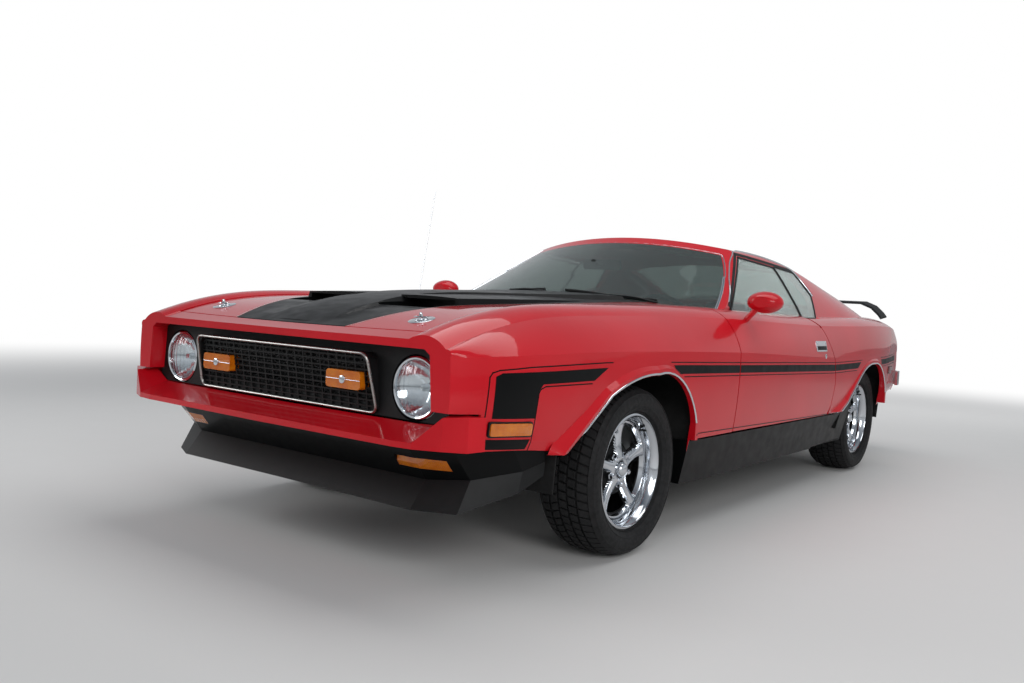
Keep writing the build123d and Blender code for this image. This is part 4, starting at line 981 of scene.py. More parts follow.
for side, sign in SIDES:
    centre = at(sign * LAMP_X, LAMP_STATION, LAMP_Z)
    for layer, slot, own, steps, section in LAMP_LAYERS:
        spun(f"lamp_{layer}_{side}", section, centre, BACKWARD, slot, steps=steps, material=own)
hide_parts("headlamps")
print("headlamps", len(SIDES), "of", len(LAMP_LAYERS), "layers")

# %% [markdown]
# # Grille
# The opening is framed by a dull bright bead with rounded corners. Behind it sits a black mesh of
# six-sided cells. The cells are drawn as thin ribs, each shared by two cells, on a leaning plane.

# %% Grille bead and cells
GRILLE_CORNERS = ((-466, 536), (466, 536), (450, 722), (-450, 722))
GRILLE_LOW, GRILLE_HIGH = (116.0, 536.0), (74.0, 725.0)


def grille_station(z, ahead_mm=0.0):
    """Station of the grille's leaning face at a height."""
    lean = (GRILLE_HIGH[0] - GRILLE_LOW[0]) / (GRILLE_HIGH[1] - GRILLE_LOW[1])
    return GRILLE_LOW[0] + lean * (z - GRILLE_LOW[1]) - ahead_mm


bead = rounded(GRILLE_CORNERS, 30, 8)
path = [at(x, grille_station(z, 1), z) for x, z in bead]
dull_bright, tree, shader = finish("brushed bright aluminium", "A9A9A6", 0.3, 1.0)
uneven(tree, shader, 25, 0.24, 0.38)
sweep("grille_bead", path, FORWARD, half_round(9, 6), "chrome", closed=True, material=dull_bright)

CELL_WIDE, CELL_HIGH, RIB = 30.0, 15.0, 2.2
CELL_SIDES = (((-0.5, 0.25), (0, 0.5)), ((0, 0.5), (0.5, 0.25)), ((0.5, 0.25), (0.5, -0.25)))
MESH_HALF, MESH_LOW, MESH_HIGH, MESH_MIDDLE = 446, 545, 716, 630
MESH_ROWS, MESH_COLUMNS, MESH_FRONT, MESH_BACK = 7, 17, 13, 20
GRILLE_LAMP_X, GRILLE_LAMP_Z, LAMP_ROOM_X, LAMP_ROOM_Z = 337.5, 632, 84, 33
points, faces = [], []
for row in range(-MESH_ROWS, MESH_ROWS + 1):
    for column in range(-MESH_COLUMNS, MESH_COLUMNS + 1):
        x0 = (column + (row % 2) / 2) * CELL_WIDE
        z0 = MESH_MIDDLE + row * CELL_HIGH * 0.75
        for (dx0, dz0), (dx1, dz1) in CELL_SIDES:
            a = Vector((x0 + dx0 * CELL_WIDE, z0 + dz0 * CELL_HIGH))
            b = Vector((x0 + dx1 * CELL_WIDE, z0 + dz1 * CELL_HIGH))
            if any(abs(p.x) > MESH_HALF or not MESH_LOW <= p.y <= MESH_HIGH for p in (a, b)):
                continue
            if any(abs(abs(p.x) - GRILLE_LAMP_X) < LAMP_ROOM_X
                   and abs(p.y - GRILLE_LAMP_Z) < LAMP_ROOM_Z for p in (a, b)):
                continue
            thin = (b - a).normalized().orthogonal() * RIB / 2
            base = len(points)
            for depth in (MESH_FRONT, MESH_BACK):
                for spot in (a + thin, b + thin, b - thin, a - thin):
                    points.append(at(spot.x, grille_station(spot.y) + depth, spot.y))
            faces += [tuple(base + k for k in quad) for quad in
                      ((3, 2, 1, 0), (0, 1, 5, 4), (1, 2, 6, 5), (2, 3, 7, 6), (3, 0, 4, 7))]
shape("grille_cells", (points, faces), "black_plastic", smooth=0)
print("grille ribs", len(points) // 8)

# %% [markdown]
# # Lamps in the grille and small lenses
# The amber lamps in the grille have a bright screw in the middle and a seam across. The markers on
# the fenders and rear quarters are ribbed lenses in black frames, turned to the panel's slope.

# %% Grille lamp screws, markers
LAMP_FACE, SCREW_HALF, SEAM_HALF = 82, 13, 78
for side, sign in SIDES:
    place = at(sign * GRILLE_LAMP_X, LAMP_FACE, GRILLE_LAMP_Z)
    screw = rounded(box(-SCREW_HALF, SCREW_HALF, -SCREW_HALF, SCREW_HALF), 12)
    pressed("grille_lamp_screw_" + side, screw, place, ACROSS, UP, 5, "chrome", edge=2, crown=2)
    seam = [place + Vector((x * MM, 0, 0)) for x in (-SEAM_HALF, SEAM_HALF)]
    sweep("grille_lamp_seam_" + side, seam, FORWARD, half_round(3, 1.6), "chrome")

MARKER = ((-84, -17), (84, -21), (84, 17), (-84, 21))
MARKERS = (
    # name, node, station, height, slot
    ("front_marker_", "front_fender_{}", 251, 528, "amber_lens"),
    ("rear_marker_", "body_shell", 4330, 600, "red_lens"),
)
for side, sign in SIDES:
    corners = MARKER if sign > 0 else MARKER[::-1]
    for name, node, station, z, slot in MARKERS:
        point, slope = touch_side(node.format(side), sign, station, z)
        along, rise = panel_axes(slope, sign)
        pressed(name + side, rounded([(x * sign, y) for x, y in corners], 8), point, along, rise, 7,
                slot, edge=3, sunk=6)
        pressed(name + "frame_" + side, rounded([(x * 1.05 * sign, y * 1.24) for x, y in corners], 9),
                point, along, rise, 2.2, "black_plastic", edge=1, sunk=6)
print("markers", len(SIDES) * len(MARKERS))

# %% [markdown]
# # Hood pins
# Two bright plates on the hood's front corners let a pin through, held by a bent wire clip.

# %% Hood pins
PIN_X, PIN_STATION, ABOVE_HOOD = 523, 235, 1200
CLIP_RISE, CLIP_LONG, CLIP_WIDE, CLIP_TURN = 11, 26, 17, 6.1  # the wire's turn ends short of a circle
PIN_PLATE = [(0, -1), (44, -1), (44, 1.6), (41, 2.6), (22, 3.2), (20, 5.5), (11, 6.5), (10, 3), (0, 3)]
PIN = [(0, 0), (6, 0), (6, 20), (4, 25), (0, 26)]
for side, sign in SIDES:
    point, slope = touch("hood", (sign * PIN_X, PIN_STATION, ABOVE_HOOD), DOWN)
    spun("hood_pin_plate_" + side, PIN_PLATE, point, slope, "chrome", "hood_panel", 40)
    spun("hood_pin_" + side, PIN, point, slope, "chrome", "hood_panel", 20)
    clip = point + slope * CLIP_RISE * MM
    loop = [clip + Vector((math.cos(t) * CLIP_LONG, math.sin(t) * CLIP_WIDE, 0)) * MM
            for t in np.linspace(0, CLIP_TURN, 22)]
    sweep("hood_pin_clip_" + side, loop, slope, [(1.6, 0), (0, 1.6), (-1.6, 0), (0, -1.6)], "chrome",
          "hood_panel")
print("hood pins", len(SIDES))

# %% [markdown]
# # Door handles and locks
# The handle is flush: a bright framed flap over a finger recess, level with the skin, so nothing
# catches the air. A round lock sits under its rear end.

# %% Door handles
HANDLE_AT, LOCK_AT = (2830, 765), (2890, 712)
HANDLE_PLATES = (
    # name, outline, corner radius, thickness, slot, more
    ("handle_frame_", box(-78, 78, -28, 28), 8, 3, "chrome", {"edge": 1.5, "sunk": 4}),
    ("handle_recess_", box(-70, 70, -20, 4), 5, 3.4, "black_plastic", {"edge": 0.5}),
    ("handle_flap_", box(-70, 70, 0, 22), 6, 6, "chrome", {"edge": 2, "crown": 1}),
)
LOCK = [(0, -2), (13, -2), (13, 2), (10, 3.5), (5, 2.5), (0, 2.5)]
for side, sign in SIDES:
    door = side + "_door"
    point, slope = touch_side("door_" + side, sign, *HANDLE_AT)
    along, rise = panel_axes(slope, sign)
    for name, outline, corner, thick, slot, more in HANDLE_PLATES:
        pressed(name + side, rounded(outline, corner), point, along, rise, thick, slot, door, **more)
    spun("door_lock_" + side, LOCK, *touch_side("door_" + side, sign, *LOCK_AT), "chrome", door, 28)
print("handles", len(SIDES))

# %% [markdown]
# # Black strip over the side windows
# The roof edge above the side windows carries a black weatherstrip, drawn as a thin film of the
# shell's own faces. A fine light line follows the black of the hood in the same way.

# %% Window frames and hood line
FRAME_LINE = ((1978, 930), (2429, 1212), (2600, 1203), (3198, 1171), (3233, 1040))
FRAME_WIDTH, HOOD_LINE_GAP, HOOD_LINE_HALF = 17, 7, 1.3
for side, sign in SIDES:
    film("window_frame_" + side, "body_shell", (sign, 0, 0),
         thin_line(FRAME_LINE, 1990, 3260, FRAME_WIDTH), SIDE_VIEW, "black_plastic", lift=0.6 * MM,
         beyond=0.4)

line_white, tree, shader = finish("light pinstripe enamel", "D8D6CF", 0.35, Coat_Weight=0.6)
mottle(tree, shader, "DEDCD6", "CFCDC5", 60)
edge = [(x + HOOD_LINE_GAP, s) for x, s in HOOD_BLACK[:4]]
hood_lines = []
for flip in (1, -1):
    for (x0, s0), (x1, s1) in zip(edge, edge[1:]):
        a, b = Vector((x0 * flip, s0)), Vector((x1 * flip, s1))
        across = (b - a).normalized().orthogonal() * HOOD_LINE_HALF
        hood_lines.append(from_above([a + across, b + across, b - across, a - across]))
film("hood_line", "hood", UP, hood_lines, TOP_VIEW, "body_paint", "hood_panel", line_white)
print("frames", len(SIDES), "hood line patches", len(hood_lines))

# %% [markdown]
# # Road wheels
# The wheels are five-spoke steel wheels with a chromed, deep outer barrel. The spokes are slim, bright
# ridges, and the pockets between them are painted black with a slot near the rim. The face is built
# as a disc of rings and rays: each point's distance from the nearest spoke decides how deep it lies
# and which finish it gets.

# %% Wheel face
SPOKES = 5
FACE_RADII = [34, 48, 60, 68, 76, 86, 96, 106, 116, 126, 136, 146, 154, 161, 167, 173, 180]
FACE_RAYS = 300
HUB, FLANGE, FLANGE_STEP = 60, 173, 178  # radii: nuts sit inside the first, the rest is the edge
CONE_DEPTH, POCKET_DEPTH, POCKET_EDGE, SPOKE_CROWN = 10, 15, 7, 3.0
SPOKE_SLIM = 13.5  # half-widths: in the middle, and what is added at the hub and at the rim
SPOKE_FOOT, FOOT_RADIUS, FOOT_LENGTH = 16, 86, 50
SPOKE_HEAD, HEAD_RADIUS, HEAD_LENGTH = 11, 130, 46
SLOT_FROM, SLOT_TO, SLOT_GAP = 100, 158, 13
BLACK_FROM, BLACK_TO, BLACK_GAP = 60, 168, 4.5


def ring_point(out, angle, radius):
    """A point about the wheel's middle in metres: out along X, then round the axle."""
    return Vector((out, math.cos(angle) * radius, math.sin(angle) * radius)) * MM


def spoke_distance(angle, radius):
    """Distance in millimetres from the middle line of the nearest spoke."""
    step = 2 * math.pi / SPOKES
    away = (angle + step / 2) % step - step / 2
    return abs(radius * math.sin(away)) if abs(away) < math.pi / 2 else radius


def spoke_half(radius):
    """Half the width of a spoke: wide at the hub, slim in the middle, spread at the rim."""
    foot = SPOKE_FOOT * max(0.0, (FOOT_RADIUS - radius) / FOOT_LENGTH) ** 2
    return SPOKE_SLIM + SPOKE_HEAD * max(0.0, (radius - HEAD_RADIUS) / HEAD_LENGTH) ** 2 + foot


def face_depth(angle, radius):
    """How far a point of the wheel's face stands out; angle is counted from the first spoke."""
    half = spoke_half(radius)
    apart = spoke_distance(angle, radius) - half
    sink = min(1.0, max(0.0, apart / POCKET_EDGE))
    sink = sink * sink * (3 - 2 * sink)
    crown = SPOKE_CROWN * (1 - min(1.0, (apart + half) / half) ** 2) if apart < 0 else 0.0
    cone = CONE_DEPTH * math.sin(math.pi * (radius - FACE_RADII[0]) / (FACE_RADII[-1] - FACE_RADII[0]))
    depth = -cone - POCKET_DEPTH * sink + crown
    if radius >= FLANGE:
        depth = -4.0 if radius < FLANGE_STEP else -1.0
    return max(depth, -6) if radius <= HUB else depth


def wheel_face(name, centre, sign, turn, body):
    """The spoked disc inside the barrel; turn sets where the first spoke points."""
    face = bmesh.new()
    grid = []
    for radius in FACE_RADII:
        row = []
        for k in range(FACE_RAYS):
            angle = 2 * math.pi * k / FACE_RAYS + turn
            row.append(face.verts.new(centre + ring_point(
                sign * face_depth(angle - turn, radius), angle, radius)))
        grid.append(row)
    for i in range(len(FACE_RADII) - 1):
        middle = (FACE_RADII[i] + FACE_RADII[i + 1]) / 2
        for k in range(FACE_RAYS):
            angle = 2 * math.pi * (k + 0.5) / FACE_RAYS
            apart = spoke_distance(angle, middle) - spoke_half(middle)
            if SLOT_FROM < middle < SLOT_TO and apart > SLOT_GAP:
                continue
            after = (k + 1) % FACE_RAYS
            quad = face.faces.new((grid[i][k], grid[i + 1][k], grid[i + 1][after], grid[i][after]))
            quad.material_index = int(apart > BLACK_GAP and BLACK_FROM < middle < BLACK_TO)
    bmesh.ops.recalc_face_normals(face, faces=face.faces[:])
    if sum(f.normal.x * sign for f in face.faces) < 0:
        bmesh.ops.reverse_faces(face, faces=face.faces[:])
    piece = shape(name, face, "wheel_chrome", body, smooth=40)
    piece.data.materials.append(black_paint)
    thick = piece.modifiers.new("thickness", "SOLIDIFY")
    thick.thickness, thick.offset = 5 * MM, -1


WHEELS = (
    # place, station, half-width of the wheel's middle
    ("front", FRONT_AXLE, 781.0),
    ("rear", REAR_AXLE, 765.0),
)
HALF_RIM, FACE_INSET = 95.0, 46
FIRST_SPOKE, NUT_CIRCLE, VALVE_CIRCLE, VALVE_ANGLE = 0.35, 57, 178, 0.9
BARREL = [(208, 95), (212, 93), (213, 88), (206, 84), (197, 76), (192, 66), (188, 40), (184, 10),
          (182, -20), (190, -70), (198, -84), (208, -88), (208, -93), (196, -88), (184, -72),
          (176, -20), (178, 10), (182, 40), (186, 66), (191, 80), (200, 88), (203, 92), (204, 95)]
CAP = [(0, 22), (10, 21), (20, 18), (26, 12), (29, 4), (30, -8), (36, -9), (36, -12), (0, -12)]
NUT = [(0, 16), (5, 16), (8, 13), (10.5, 12), (10.5, 0), (14, -2), (14, -5), (0, -5)]
VALVE = [(0, 24), (3, 24), (4, 20), (4, 2), (6, 0), (6, -4), (0, -4)]


def each_wheel():
    """Label, body, middle and outward sign of each wheel."""
    for place, station, half_width in WHEELS:
        for side, sign in SIDES:
            label = f"{place}_{side}"
            yield label, label + "_wheel", at(sign * half_width, station, AXLE_HEIGHT), sign


for label, body, middle, sign in each_wheel():
    axle = (sign, 0, 0)
    barrel = spun("wheel_barrel_" + label, BARREL, middle, axle, "wheel_chrome", body, 96)
    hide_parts("rim_" + label)
    plane = middle + Vector((sign * (HALF_RIM - FACE_INSET), 0, 0)) * MM
    wheel_face("wheel_spokes_" + label, plane, sign, FIRST_SPOKE, body)
    spun("wheel_cap_" + label, CAP, plane, axle, "wheel_chrome", body, 40)
    for k in range(SPOKES):
        spot = plane + ring_point(sign * -8, FIRST_SPOKE + 2 * math.pi * (k + 0.5) / SPOKES, NUT_CIRCLE)
        spun(f"wheel_nut_{label}_{k}", NUT, spot, axle, "wheel_chrome", body, 6, smooth=20)
    spun("wheel_valve_" + label, VALVE, plane + ring_point(sign * 12, VALVE_ANGLE, VALVE_CIRCLE), axle,
         "black_plastic", body, 12)
print("wheels", len(list(each_wheel())))

# %% [markdown]
# # Tyres
# A wide radial on a 1970s car has five ribs of tread, cut by narrow slots that step round the tyre,
# and a sidewall with fine raised rings. The carcass is a turned section, and each tread block is laid
# on it with its top on the running surface, so the tyre still stands on the floor.

# %% Tyre section and tread
TYRE_RADIUS = 313.0
TREAD_DEPTH = 9.0
CROWN_FALL, CROWN_HALF = 3.2, 80
SHOULDER_FALL, SHOULDER_FROM, SHOULDER_WIDTH = 9, 76, 18
PITCHES = 60
BLOCK_FROM, BLOCK_TO, BLOCK_SKEW = 0.07, 0.86, 0.28  # shares of one pitch
# Each rib: from, to, and the share of a pitch by which its blocks are shifted
RIBS = ((-94, -60, 0.35), (-51, -23, 0.0), (-14, 14, 0.5), (23, 51, 0.0), (60, 94, 0.35))
SIDEWALL = [(206, 77), (211, 84), (214, 92), (222, 103), (236, 112.5), (252, 117), (262, 117.4),
            (272, 116), (282, 112), (290, 107), (296, 102), (300, 97)]
SIDEWALL_RINGS = (214, 236, 282)


def crown_radius(across):
    """Radius of the running surface at a distance from the tyre's middle."""
    fall = CROWN_FALL * (abs(across) / CROWN_HALF) ** 2
    shoulder = SHOULDER_FALL * max(0.0, (abs(across) - SHOULDER_FROM) / SHOULDER_WIDTH) ** 2
    return TYRE_RADIUS - fall - shoulder


def tyre_section():
    """Half profile from the bead up the sidewall, over the crown and down the other side."""
    half = []
    for r, a in SIDEWALL:
        half.append((r, a))
        if r in SIDEWALL_RINGS:
            half += [(r + 1.5, a + 1.8), (r + 4, a + 1.9), (r + 5.5, a + 0.8)]
    half += [(crown_radius(a) - TREAD_DEPTH, a) for a in (92, 74, 56, 38, 19, 0)]
    return half + [(r, -a) for r, a in reversed(half[:-1])] + [(204, -74), (204, 74)]


def block_corners(low, high, pitch):
    """The four corners of a tread block as (across, angle), round its outline."""
    corners = []
    for across, lead in ((low, 0), (high, 1)):
        skew = BLOCK_SKEW * (1 if abs(low) > 50 else 0.6) * (lead - 0.5) * (1 if low + high >= 0 else -1)
        corners += [(across, 2 * math.pi * (pitch + t + skew) / PITCHES) for t in (BLOCK_FROM, BLOCK_TO)]
    return [corners[0], corners[1], corners[3], corners[2]]


for label, body, middle, sign in each_wheel():
    tyre = to_bmesh(*spin(tyre_section(), middle, (sign, 0, 0), 120))
    for low, high, shift in RIBS:
        for k in range(PITCHES):
            levels = []
            for drop, inset in ((TREAD_DEPTH + 1, 0), (0.8, 0), (0, 0.7)):
                level = []
                for n, (across, angle) in enumerate(block_corners(low, high, k + shift)):
                    shrink = inset if across == low else -inset
                    r = crown_radius(across) - drop
                    turn = angle + (inset / r if n in (0, 3) else -inset / r)
                    level.append(tyre.verts.new(middle + ring_point(sign * (across + shrink), turn, r)))
                levels.append(level)
            for a, b in zip(levels, levels[1:]):
                for n in range(4):
                    tyre.faces.new((a[n - 1], a[n], b[n], b[n - 1]))
            tyre.faces.new(levels[-1])
    bmesh.ops.recalc_face_normals(tyre, faces=tyre.faces[:])
    piece = shape("tyre_tread_" + label, tyre, "tyre_rubber", body, smooth=30)
    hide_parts("tyre_" + label)
print("tyre blocks", len(RIBS) * PITCHES)

# %% [markdown]
# # Seats
# The seats are foam under sewn vinyl. Each cushion starts a little smaller than the frame's plain
# seat and is blown up as cloth, so its faces crown and its corners stay drawn in. The moves are
# capped, the mesh is smoothed once and the sewn channels are pressed in along the seat's middle.

# %% Cushions
CLOTH_FRAMES, PRESSURE, LARGEST_MOVE = 20, 4.0, 9.0
STUFFING_ROOM, SEAM_RADIUS = 11.0, 14
CHANNEL_STEP, CHANNEL_WIDTH, CHANNEL_DEPTH = 52.0, 7.0, 7.0
CLOTH = {"quality": 4, "mass": 0.4, "tension_stiffness": 12, "compression_stiffness": 12,
         "bending_stiffness": 2, "use_pressure": True, "uniform_pressure_force": PRESSURE}


def evaluated(piece):
    """The piece's mesh with its modifiers, as a mesh of its own."""
    graph = bpy.context.evaluated_depsgraph_get()
    return bpy.data.meshes.new_from_object(piece.evaluated_get(graph))


def block_mesh(outline, x0, x1, inset):
    """An outline in station and height, drawn in by inset and carried across the car."""
    middle = Vector((sum(s for s, _ in outline), sum(z for _, z in outline))) / len(outline)
    whole = bmesh.new()
    rings = []
    for x in (x0 + inset, x1 - inset):
        ring = []
        for corner in outline:
            flat = Vector(corner)
            flat += (middle - flat).normalized() * inset
            ring.append(whole.verts.new(at(x, flat.x, flat.y)))
        rings.append(ring)
    for k in range(len(outline)):
        whole.faces.new((rings[0][k - 1], rings[0][k], rings[1][k], rings[1][k - 1]))
    whole.faces.new(rings[0])
    whole.faces.new(rings[1])
    bmesh.ops.recalc_face_normals(whole, faces=whole.faces[:])
    bmesh.ops.bevel(whole, geom=whole.edges[:], offset=SEAM_RADIUS * MM, segments=2, affect="EDGES",
                    profile=0.6)
    return whole


def inflate(piece):
    """Blows the piece up as cloth for a few frames, caps each move and returns the largest."""
    rest = [v.co.copy() for v in piece.data.vertices]
    cloth = piece.modifiers.new("cloth", "CLOTH")
    for key, value in CLOTH.items():
        setattr(cloth.settings, key, value)
    cloth.settings.effector_weights.gravity = 0
    cloth.collision_settings.use_self_collision = False
    for frame_number in range(1, CLOTH_FRAMES + 1):
        bpy.context.scene.frame_set(frame_number)
    blown = evaluated(piece)
    piece.modifiers.remove(cloth)
    for vert, start, end in zip(piece.data.vertices, rest, blown.vertices):
        move = end.co - start
        vert.co = start + move.normalized() * min(move.length, LARGEST_MOVE * MM)
    bpy.context.scene.frame_set(1)
    return max((v.co - r).length for v, r in zip(piece.data.vertices, rest)) / MM


def cushion(name, outline, x0, x1, voxel_mm, channels, fill):
    """A stuffed vinyl block; channels is how far they stay from each side, or None."""
    piece = shape(name, block_mesh(outline, x0, x1, STUFFING_ROOM), "seat_vinyl", smooth=0)
    grid = piece.modifiers.new("grid", "REMESH")
    grid.mode = "VOXEL"
    grid.voxel_size = voxel_mm * MM
    piece.data = evaluated(piece)
    piece.modifiers.clear()
    moved = inflate(piece)
    soft = piece.modifiers.new("smooth", "SUBSURF")
    soft.levels = soft.render_levels = 1
    piece.data = evaluated(piece)
    piece.modifiers.clear()
    middle = (x0 + x1) / 2
    if channels is not None:
        reach = (x1 - x0) / 2 - channels
        facings = [v.normal.copy() for v in piece.data.vertices]
        for vert, facing in zip(piece.data.vertices, facings):
            across = vert.co.x / MM - middle
            if abs(across) > reach + CHANNEL_WIDTH or max(facing.z, -facing.y) < 0.4:
                continue
            off = abs((across + CHANNEL_STEP / 2) % CHANNEL_STEP - CHANNEL_STEP / 2)
            depth = CHANNEL_DEPTH * math.exp(-((off / CHANNEL_WIDTH) ** 2))
            vert.co -= facing * depth * MM
    piece.data.shade_smooth()
    return moved


SEAT_BASE = ((2195, 318), (2640, 318), (2668, 400), (2640, 470), (2240, 502), (2176, 452))
SEAT_BACK = ((2628, 402), (2702, 426), (2897, 850), (2776, 856), (2600, 486))
HEADREST = ((2792, 868), (2900, 862), (2905, 966), (2834, 982))
REAR_BASE = ((3128, 410), (3334, 440), (3466, 530), (3336, 592), (3132, 600))
REAR_BACK = ((3398, 540), (3488, 532), (3558, 798), (3482, 812), (3352, 606))
SEAT_INNER, SEAT_OUTER, SEAT_MIDDLE, HEADREST_HALF = 150, 620, 385, 130
SIDE_MARGIN, REAR_MARGIN, REAR_HALVES = 85, 90, ((-556, -8), (8, 556))
SEAT_VOXEL, HEADREST_VOXEL, REAR_VOXEL, SEAT_FILL, HEADREST_FILL = 11, 8, 13, 0.7, 0.8
POST_OFF, POST_FOOT, POST_HEAD, SEAT_RAIL_X = 45, (2836, 840), (2850, 880), (200, 570)
POST = [(6, 0), (6, 45), (0, 45), (0, 0)]
RAIL_STATION, RAIL_HEIGHT = 2400, 288
SEAT_RAIL = ((2230, 246), (2600, 246), (2590, 330), (2240, 330))
moves = []
for side, sign in SIDES:
    x0, x1 = sorted((sign * SEAT_INNER, sign * SEAT_OUTER))
    for name, outline in (("seat_base_", SEAT_BASE), ("seat_back_", SEAT_BACK)):
        moves.append(cushion(name + side, outline, x0, x1, SEAT_VOXEL, SIDE_MARGIN, SEAT_FILL))
    middle = sign * SEAT_MIDDLE
    moves.append(cushion("headrest_" + side, HEADREST, middle - HEADREST_HALF, middle + HEADREST_HALF,
                         HEADREST_VOXEL, None, HEADREST_FILL))
    for post in (-POST_OFF, POST_OFF):
        bottom, top = at(middle + post, *POST_FOOT), at(middle + post, *POST_HEAD)
        spun(f"headrest_post_{side}_{post + POST_OFF}", POST, bottom, top - bottom, "chrome", steps=16)
    for n, x in enumerate(SEAT_RAIL_X):
        outline = [(s - RAIL_STATION, z - RAIL_HEIGHT) for s, z in rounded(SEAT_RAIL, 12)]
        pressed(f"seat_rail_{side}_{n}", outline, at(sign * x, RAIL_STATION, RAIL_HEIGHT), BACKWARD, UP,
                26, "black_plastic")
for n, (x0, x1) in enumerate(REAR_HALVES):
    for name, outline in (("rear_base_", REAR_BASE), ("rear_back_", REAR_BACK)):
        moves.append(cushion(f"{name}{n}", outline, x0, x1, REAR_VOXEL, REAR_MARGIN, SEAT_FILL))
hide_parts("front_seats")
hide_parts("rear_seat")
print("cushions", len(moves), "largest move as cloth in mm", [round(m, 1) for m in moves])

# %% [markdown]
# # Cabin
# Through the glass one sees the dials, the mirror under the roof, and on the doors an arm rest and
# a window winder. They are small, so they are turned and pressed from short tables.

# %% Dials, mirror, door trim
DIALS = (
    # x, radius
    (450, 46),
    (290, 46),
    (370, 24),
    (60, 26),
    (0, 26),
    (-60, 26),
)
DIAL_STATION, DIAL_HEIGHT, DIAL_AXIS = 1962, 805, Vector((0, 0.894, 0.447))
for n, (x, radius) in enumerate(DIALS):
    spot = at(x, DIAL_STATION, DIAL_HEIGHT)
    ring = [(0, 2), (radius - 5, 2), (radius - 4, 7), (radius, 8), (radius + 2, 4), (radius + 2, -2),
            (0, -2)]
    disc = [(0, 4), (radius - 7, 4), (radius - 7, 2.2), (0, 2.2)]
    hub = [(0, 8), (3, 7.5), (4, 4), (0, 4)]
    for name, section, slot, steps in (("dial_", ring, "chrome", 40),
                                       ("dial_face_", disc, "dash_plastic", 40),
                                       ("dial_hub_", hub, "black_plastic", 16)):
        spun(f"{name}{n}", section, spot, DIAL_AXIS, slot, steps=steps)

MIRROR_TILT, MIRROR_RAY, MIRROR_HANG = (0, -0.12, 1), (0, 2900, 1135), (0, 85, -10)
spot, _ = touch("windscreen", MIRROR_RAY, FORWARD)
mirror_at = spot + Vector(MIRROR_HANG) * MM
head = rounded(((-115, -26), (115, -26), (112, 26), (-112, 26)), 18)
pane = rounded(((-108, -21), (108, -21), (105, 21), (-105, 21)), 15)
pressed("inner_mirror", head, mirror_at, (-1, 0, 0), MIRROR_TILT, 12, "black_plastic", edge=4)
pressed("inner_mirror_glass", pane, mirror_at + Vector((0, 12.6, 0)) * MM, (-1, 0, 0), MIRROR_TILT, 1,
        "chrome", edge=0.4)
stem = spot - mirror_at
long = stem.length / MM
spun("inner_mirror_stem", [(0, 0), (9, 0), (6, 20), (5, long - 8), (16, long - 1), (0, long - 1)],
     mirror_at, stem, "black_plastic", steps=20)

ARM_REST = rounded(((-190, -34), (210, -34), (170, 30), (-60, 34), (-190, 10)), 26)
REST_X, REST_STATION, REST_HEIGHT = 300, 2600, 600
WINDER_FROM_REST = (0, -230, 60)
WINDER = [(0, 24), (14, 23), (16, 16), (12, 10), (10, 0), (20, -2), (0, -2)]
WINDER_ARM = ((18, 0, 0), (24, -40, -50), (24, -62, -84))  # inwards, along Y and up from the winder
for side, sign in SIDES:
    door = side + "_door"
    spot, _ = touch("door_" + side, (sign * REST_X, REST_STATION, REST_HEIGHT), (sign, 0, 0))
    pressed("arm_rest_" + side, ARM_REST, spot, (0, -sign, 0), UP, 58, "seat_vinyl", door, edge=14)
    winder = spot + Vector(WINDER_FROM_REST) * MM
    spun("window_winder_" + side, WINDER, winder, (-sign, 0, 0), "chrome", door, 24)
    grip = even([winder + Vector((-sign * x, y, z)) * MM for x, y, z in WINDER_ARM], 12, closed=False)
    sweep("winder_arm_" + side, grip, Vector((-sign, 0, 0)), [(5, -3), (5, 3), (-5, 3), (-5, -3)],
          "chrome", door)
print("dials", len(DIALS), "inner mirror stem", round(long), "mm")

# %% [markdown]
# # Wipers and door mirrors
# Two wipers lie on the lower edge of the windscreen, mostly hidden by the hood. The door mirrors
# have a flat glass set in the back of the painted head.

# %% Wipers and mirror glass
SCREEN_TOP = 1400  # rays at the windscreen start at this height
BLADE_RISE, BLADE_LIFT, PIVOT_RISE, PIVOT_BESIDE = 62, 9, 48, 12
ARM_LIFTS = (5, 12, 7)  # over the glass at the pivot, halfway, and over the blade
SPANS, BLADE_POINTS, BLADE_MIDDLE = ((-520, -60), (60, 520)), 14, 7
OVAL_STEPS, OVAL_WIDE, OVAL_HIGH, MIRROR_X, MIRROR_Z = 48, 68, 37, 948, 966
BLADE_SECTION = [(-3, -8), (3, -8), (5, 0), (2, 6), (-2, 6), (-5, 0)]
ARM_SECTION = [(-5, -2), (5, -2), (4, 3), (-4, 3)]


def screen_foot(x):
    """The first station at which a ray from above meets the windscreen."""
    for station in range(1400, 2200, 6):
        try:
            touch("windscreen", (x, station, SCREEN_TOP), DOWN)
        except ValueError:
            continue
        return station
    raise ValueError(f"no windscreen at {x}")


def on_screen(x, rise):
    """Point and slope of the windscreen, rise millimetres behind its foot."""
    return touch("windscreen", (x, screen_foot(x) + rise, SCREEN_TOP), DOWN)


for n, (start, end) in enumerate(SPANS):
    blade, slopes = [], []
    for x in np.linspace(start, end, BLADE_POINTS):
        point, slope = on_screen(x, BLADE_RISE)
        blade.append(point + slope * BLADE_LIFT * MM)
        slopes.append(slope)
    sweep(f"wiper_blade_{n}", blade, slopes, BLADE_SECTION, "black_plastic")
    pivot, _ = on_screen(end + PIVOT_BESIDE, PIVOT_RISE)
    middle = blade[BLADE_MIDDLE] + slopes[BLADE_MIDDLE] * ARM_LIFTS[2] * MM
    arm = [pivot + slopes[-1] * ARM_LIFTS[0] * MM, (pivot + middle) / 2 + slopes[-1] * ARM_LIFTS[1] * MM,
           middle]
    sweep(f"wiper_arm_{n}", even(arm, 30, closed=False), slopes[BLADE_MIDDLE], ARM_SECTION,
          "black_plastic")
turns = [2 * math.pi * k / OVAL_STEPS for k in range(OVAL_STEPS)]
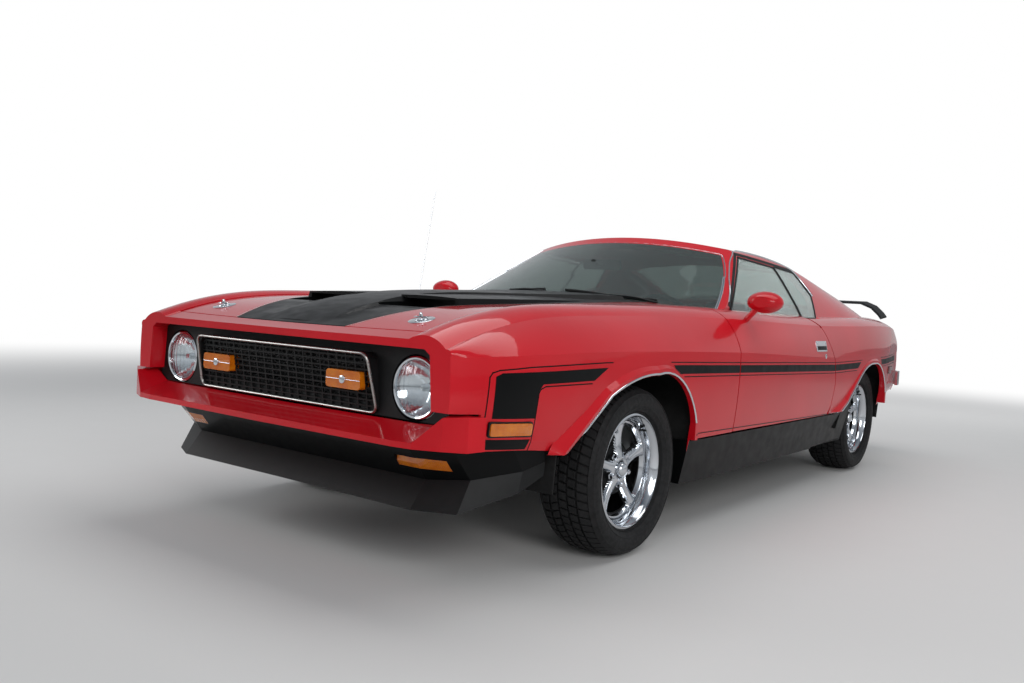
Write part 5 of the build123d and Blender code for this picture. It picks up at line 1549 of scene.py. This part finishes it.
oval = [(OVAL_WIDE * math.cos(turn), OVAL_HIGH * math.sin(turn)) for turn in turns]
for side, sign in SIDES:
    spot, _ = touch("mirror_" + side, (sign * MIRROR_X, 2300, MIRROR_Z), FORWARD)
    pressed("mirror_glass_" + side, oval, spot, (-1, 0, 0), UP, 1.2, "chrome", side + "_door", edge=0.5)
print("wiper arm points", len(arm), "mirror glass corners", len(oval))

# %% [markdown]
# # Tail
# The tail panel is black between its red edges, with a round filler cap in the middle. Each lamp has
# three lenses in bright frames, and the exhausts end in chromed sleeves.

# %% Tail panel, lamp frames, cap and tips
TAIL_FACE, LENS_FACE, TAIL_VIEW = 4680.0, 4712.0, (0, 2)
TAIL_BLACK = [(x * MM, z * MM) for x, z in box(-730, 730, 592, 788)]
film("tail_black", "tail_panel", BACKWARD, [TAIL_BLACK], TAIL_VIEW, "black_paint", beyond=-1)
LENS_ROWS, LENS_LOW, LENS_HIGH = ((395, 490), (500, 595), (605, 700)), 610, 770
LENS_RIBS, RIB_STEP = 5, 32
FRAME_SECTION = [(-4, -6), (4, -6), (4, 2), (2, 4), (-2, 4), (-4, 2)]
for side, sign in SIDES:
    for n, (x0, x1) in enumerate(LENS_ROWS):
        ring = rounded(box(x0, x1, LENS_LOW, LENS_HIGH), 6)
        sweep(f"lamp_frame_{side}_{n}", [at(sign * x, LENS_FACE, z) for x, z in ring], BACKWARD,
              FRAME_SECTION, "chrome", closed=True)
        for row in range(LENS_RIBS):
            z = LENS_LOW + 16 + row * RIB_STEP
            line = [at(sign * x, LENS_FACE, z) for x in np.linspace(x0 + 5, x1 - 5, 4)]
            sweep(f"lens_rib_{side}_{n}_{row}", line, BACKWARD, half_round(7, 2.2), "red_lens")

CAP_HEIGHT, CAP_RIDGES, RIDGE_RADIUS, LOCK_HEIGHT = 690, 36, 54, 800
FILLER = [(0, 30), (20, 29), (44, 25), (52, 20), (55, 12), (62, 10), (64, 4), (64, -1), (0, -1)]
LID_LOCK = [(0, 5), (11, 4.5), (14, 2), (14, -1), (0, -1)]
spun("filler_cap", FILLER, at(0, TAIL_FACE, CAP_HEIGHT), BACKWARD, "chrome")
for k in range(CAP_RIDGES):
    turn = 2 * math.pi * k / CAP_RIDGES
    out = Vector((math.cos(turn), 0, math.sin(turn)))
    edge = at(0, TAIL_FACE + 12, CAP_HEIGHT) + out * RIDGE_RADIUS * MM
    ridge = [edge, edge + Vector((0, 4, 0)) * MM, edge + Vector((0, 9, 0)) * MM - out * 2 * MM]
    sweep(f"filler_ridge_{k}", ridge, out, half_round(4, 2.2, 4), "chrome")
spun("lid_lock", LID_LOCK, at(0, TAIL_FACE, LOCK_HEIGHT), BACKWARD, "chrome", steps=32)

PIPE_END, TIP_START = at(0, 4712, 0).y, at(0, 4640, 0).y
TIP = [(28.4, 0), (31, 0), (33, 60), (34, 96), (34, 99), (32, 99.5), (31, 97), (29, 70), (28.4, 40)]
pipes = [v.co for v in nodes["exhaust"].data.vertices if v.co.y > PIPE_END]
for side, sign in SIDES:
    ends = [p for p in pipes if p.x * sign > 0]
    centre = sum(ends, Vector()) / len(ends)
    centre.y = TIP_START
    spun("exhaust_tip_" + side, TIP, centre, BACKWARD, "chrome", steps=48)
print("tail lenses", len(SIDES) * len(LENS_ROWS), "pipe corners", len(pipes))
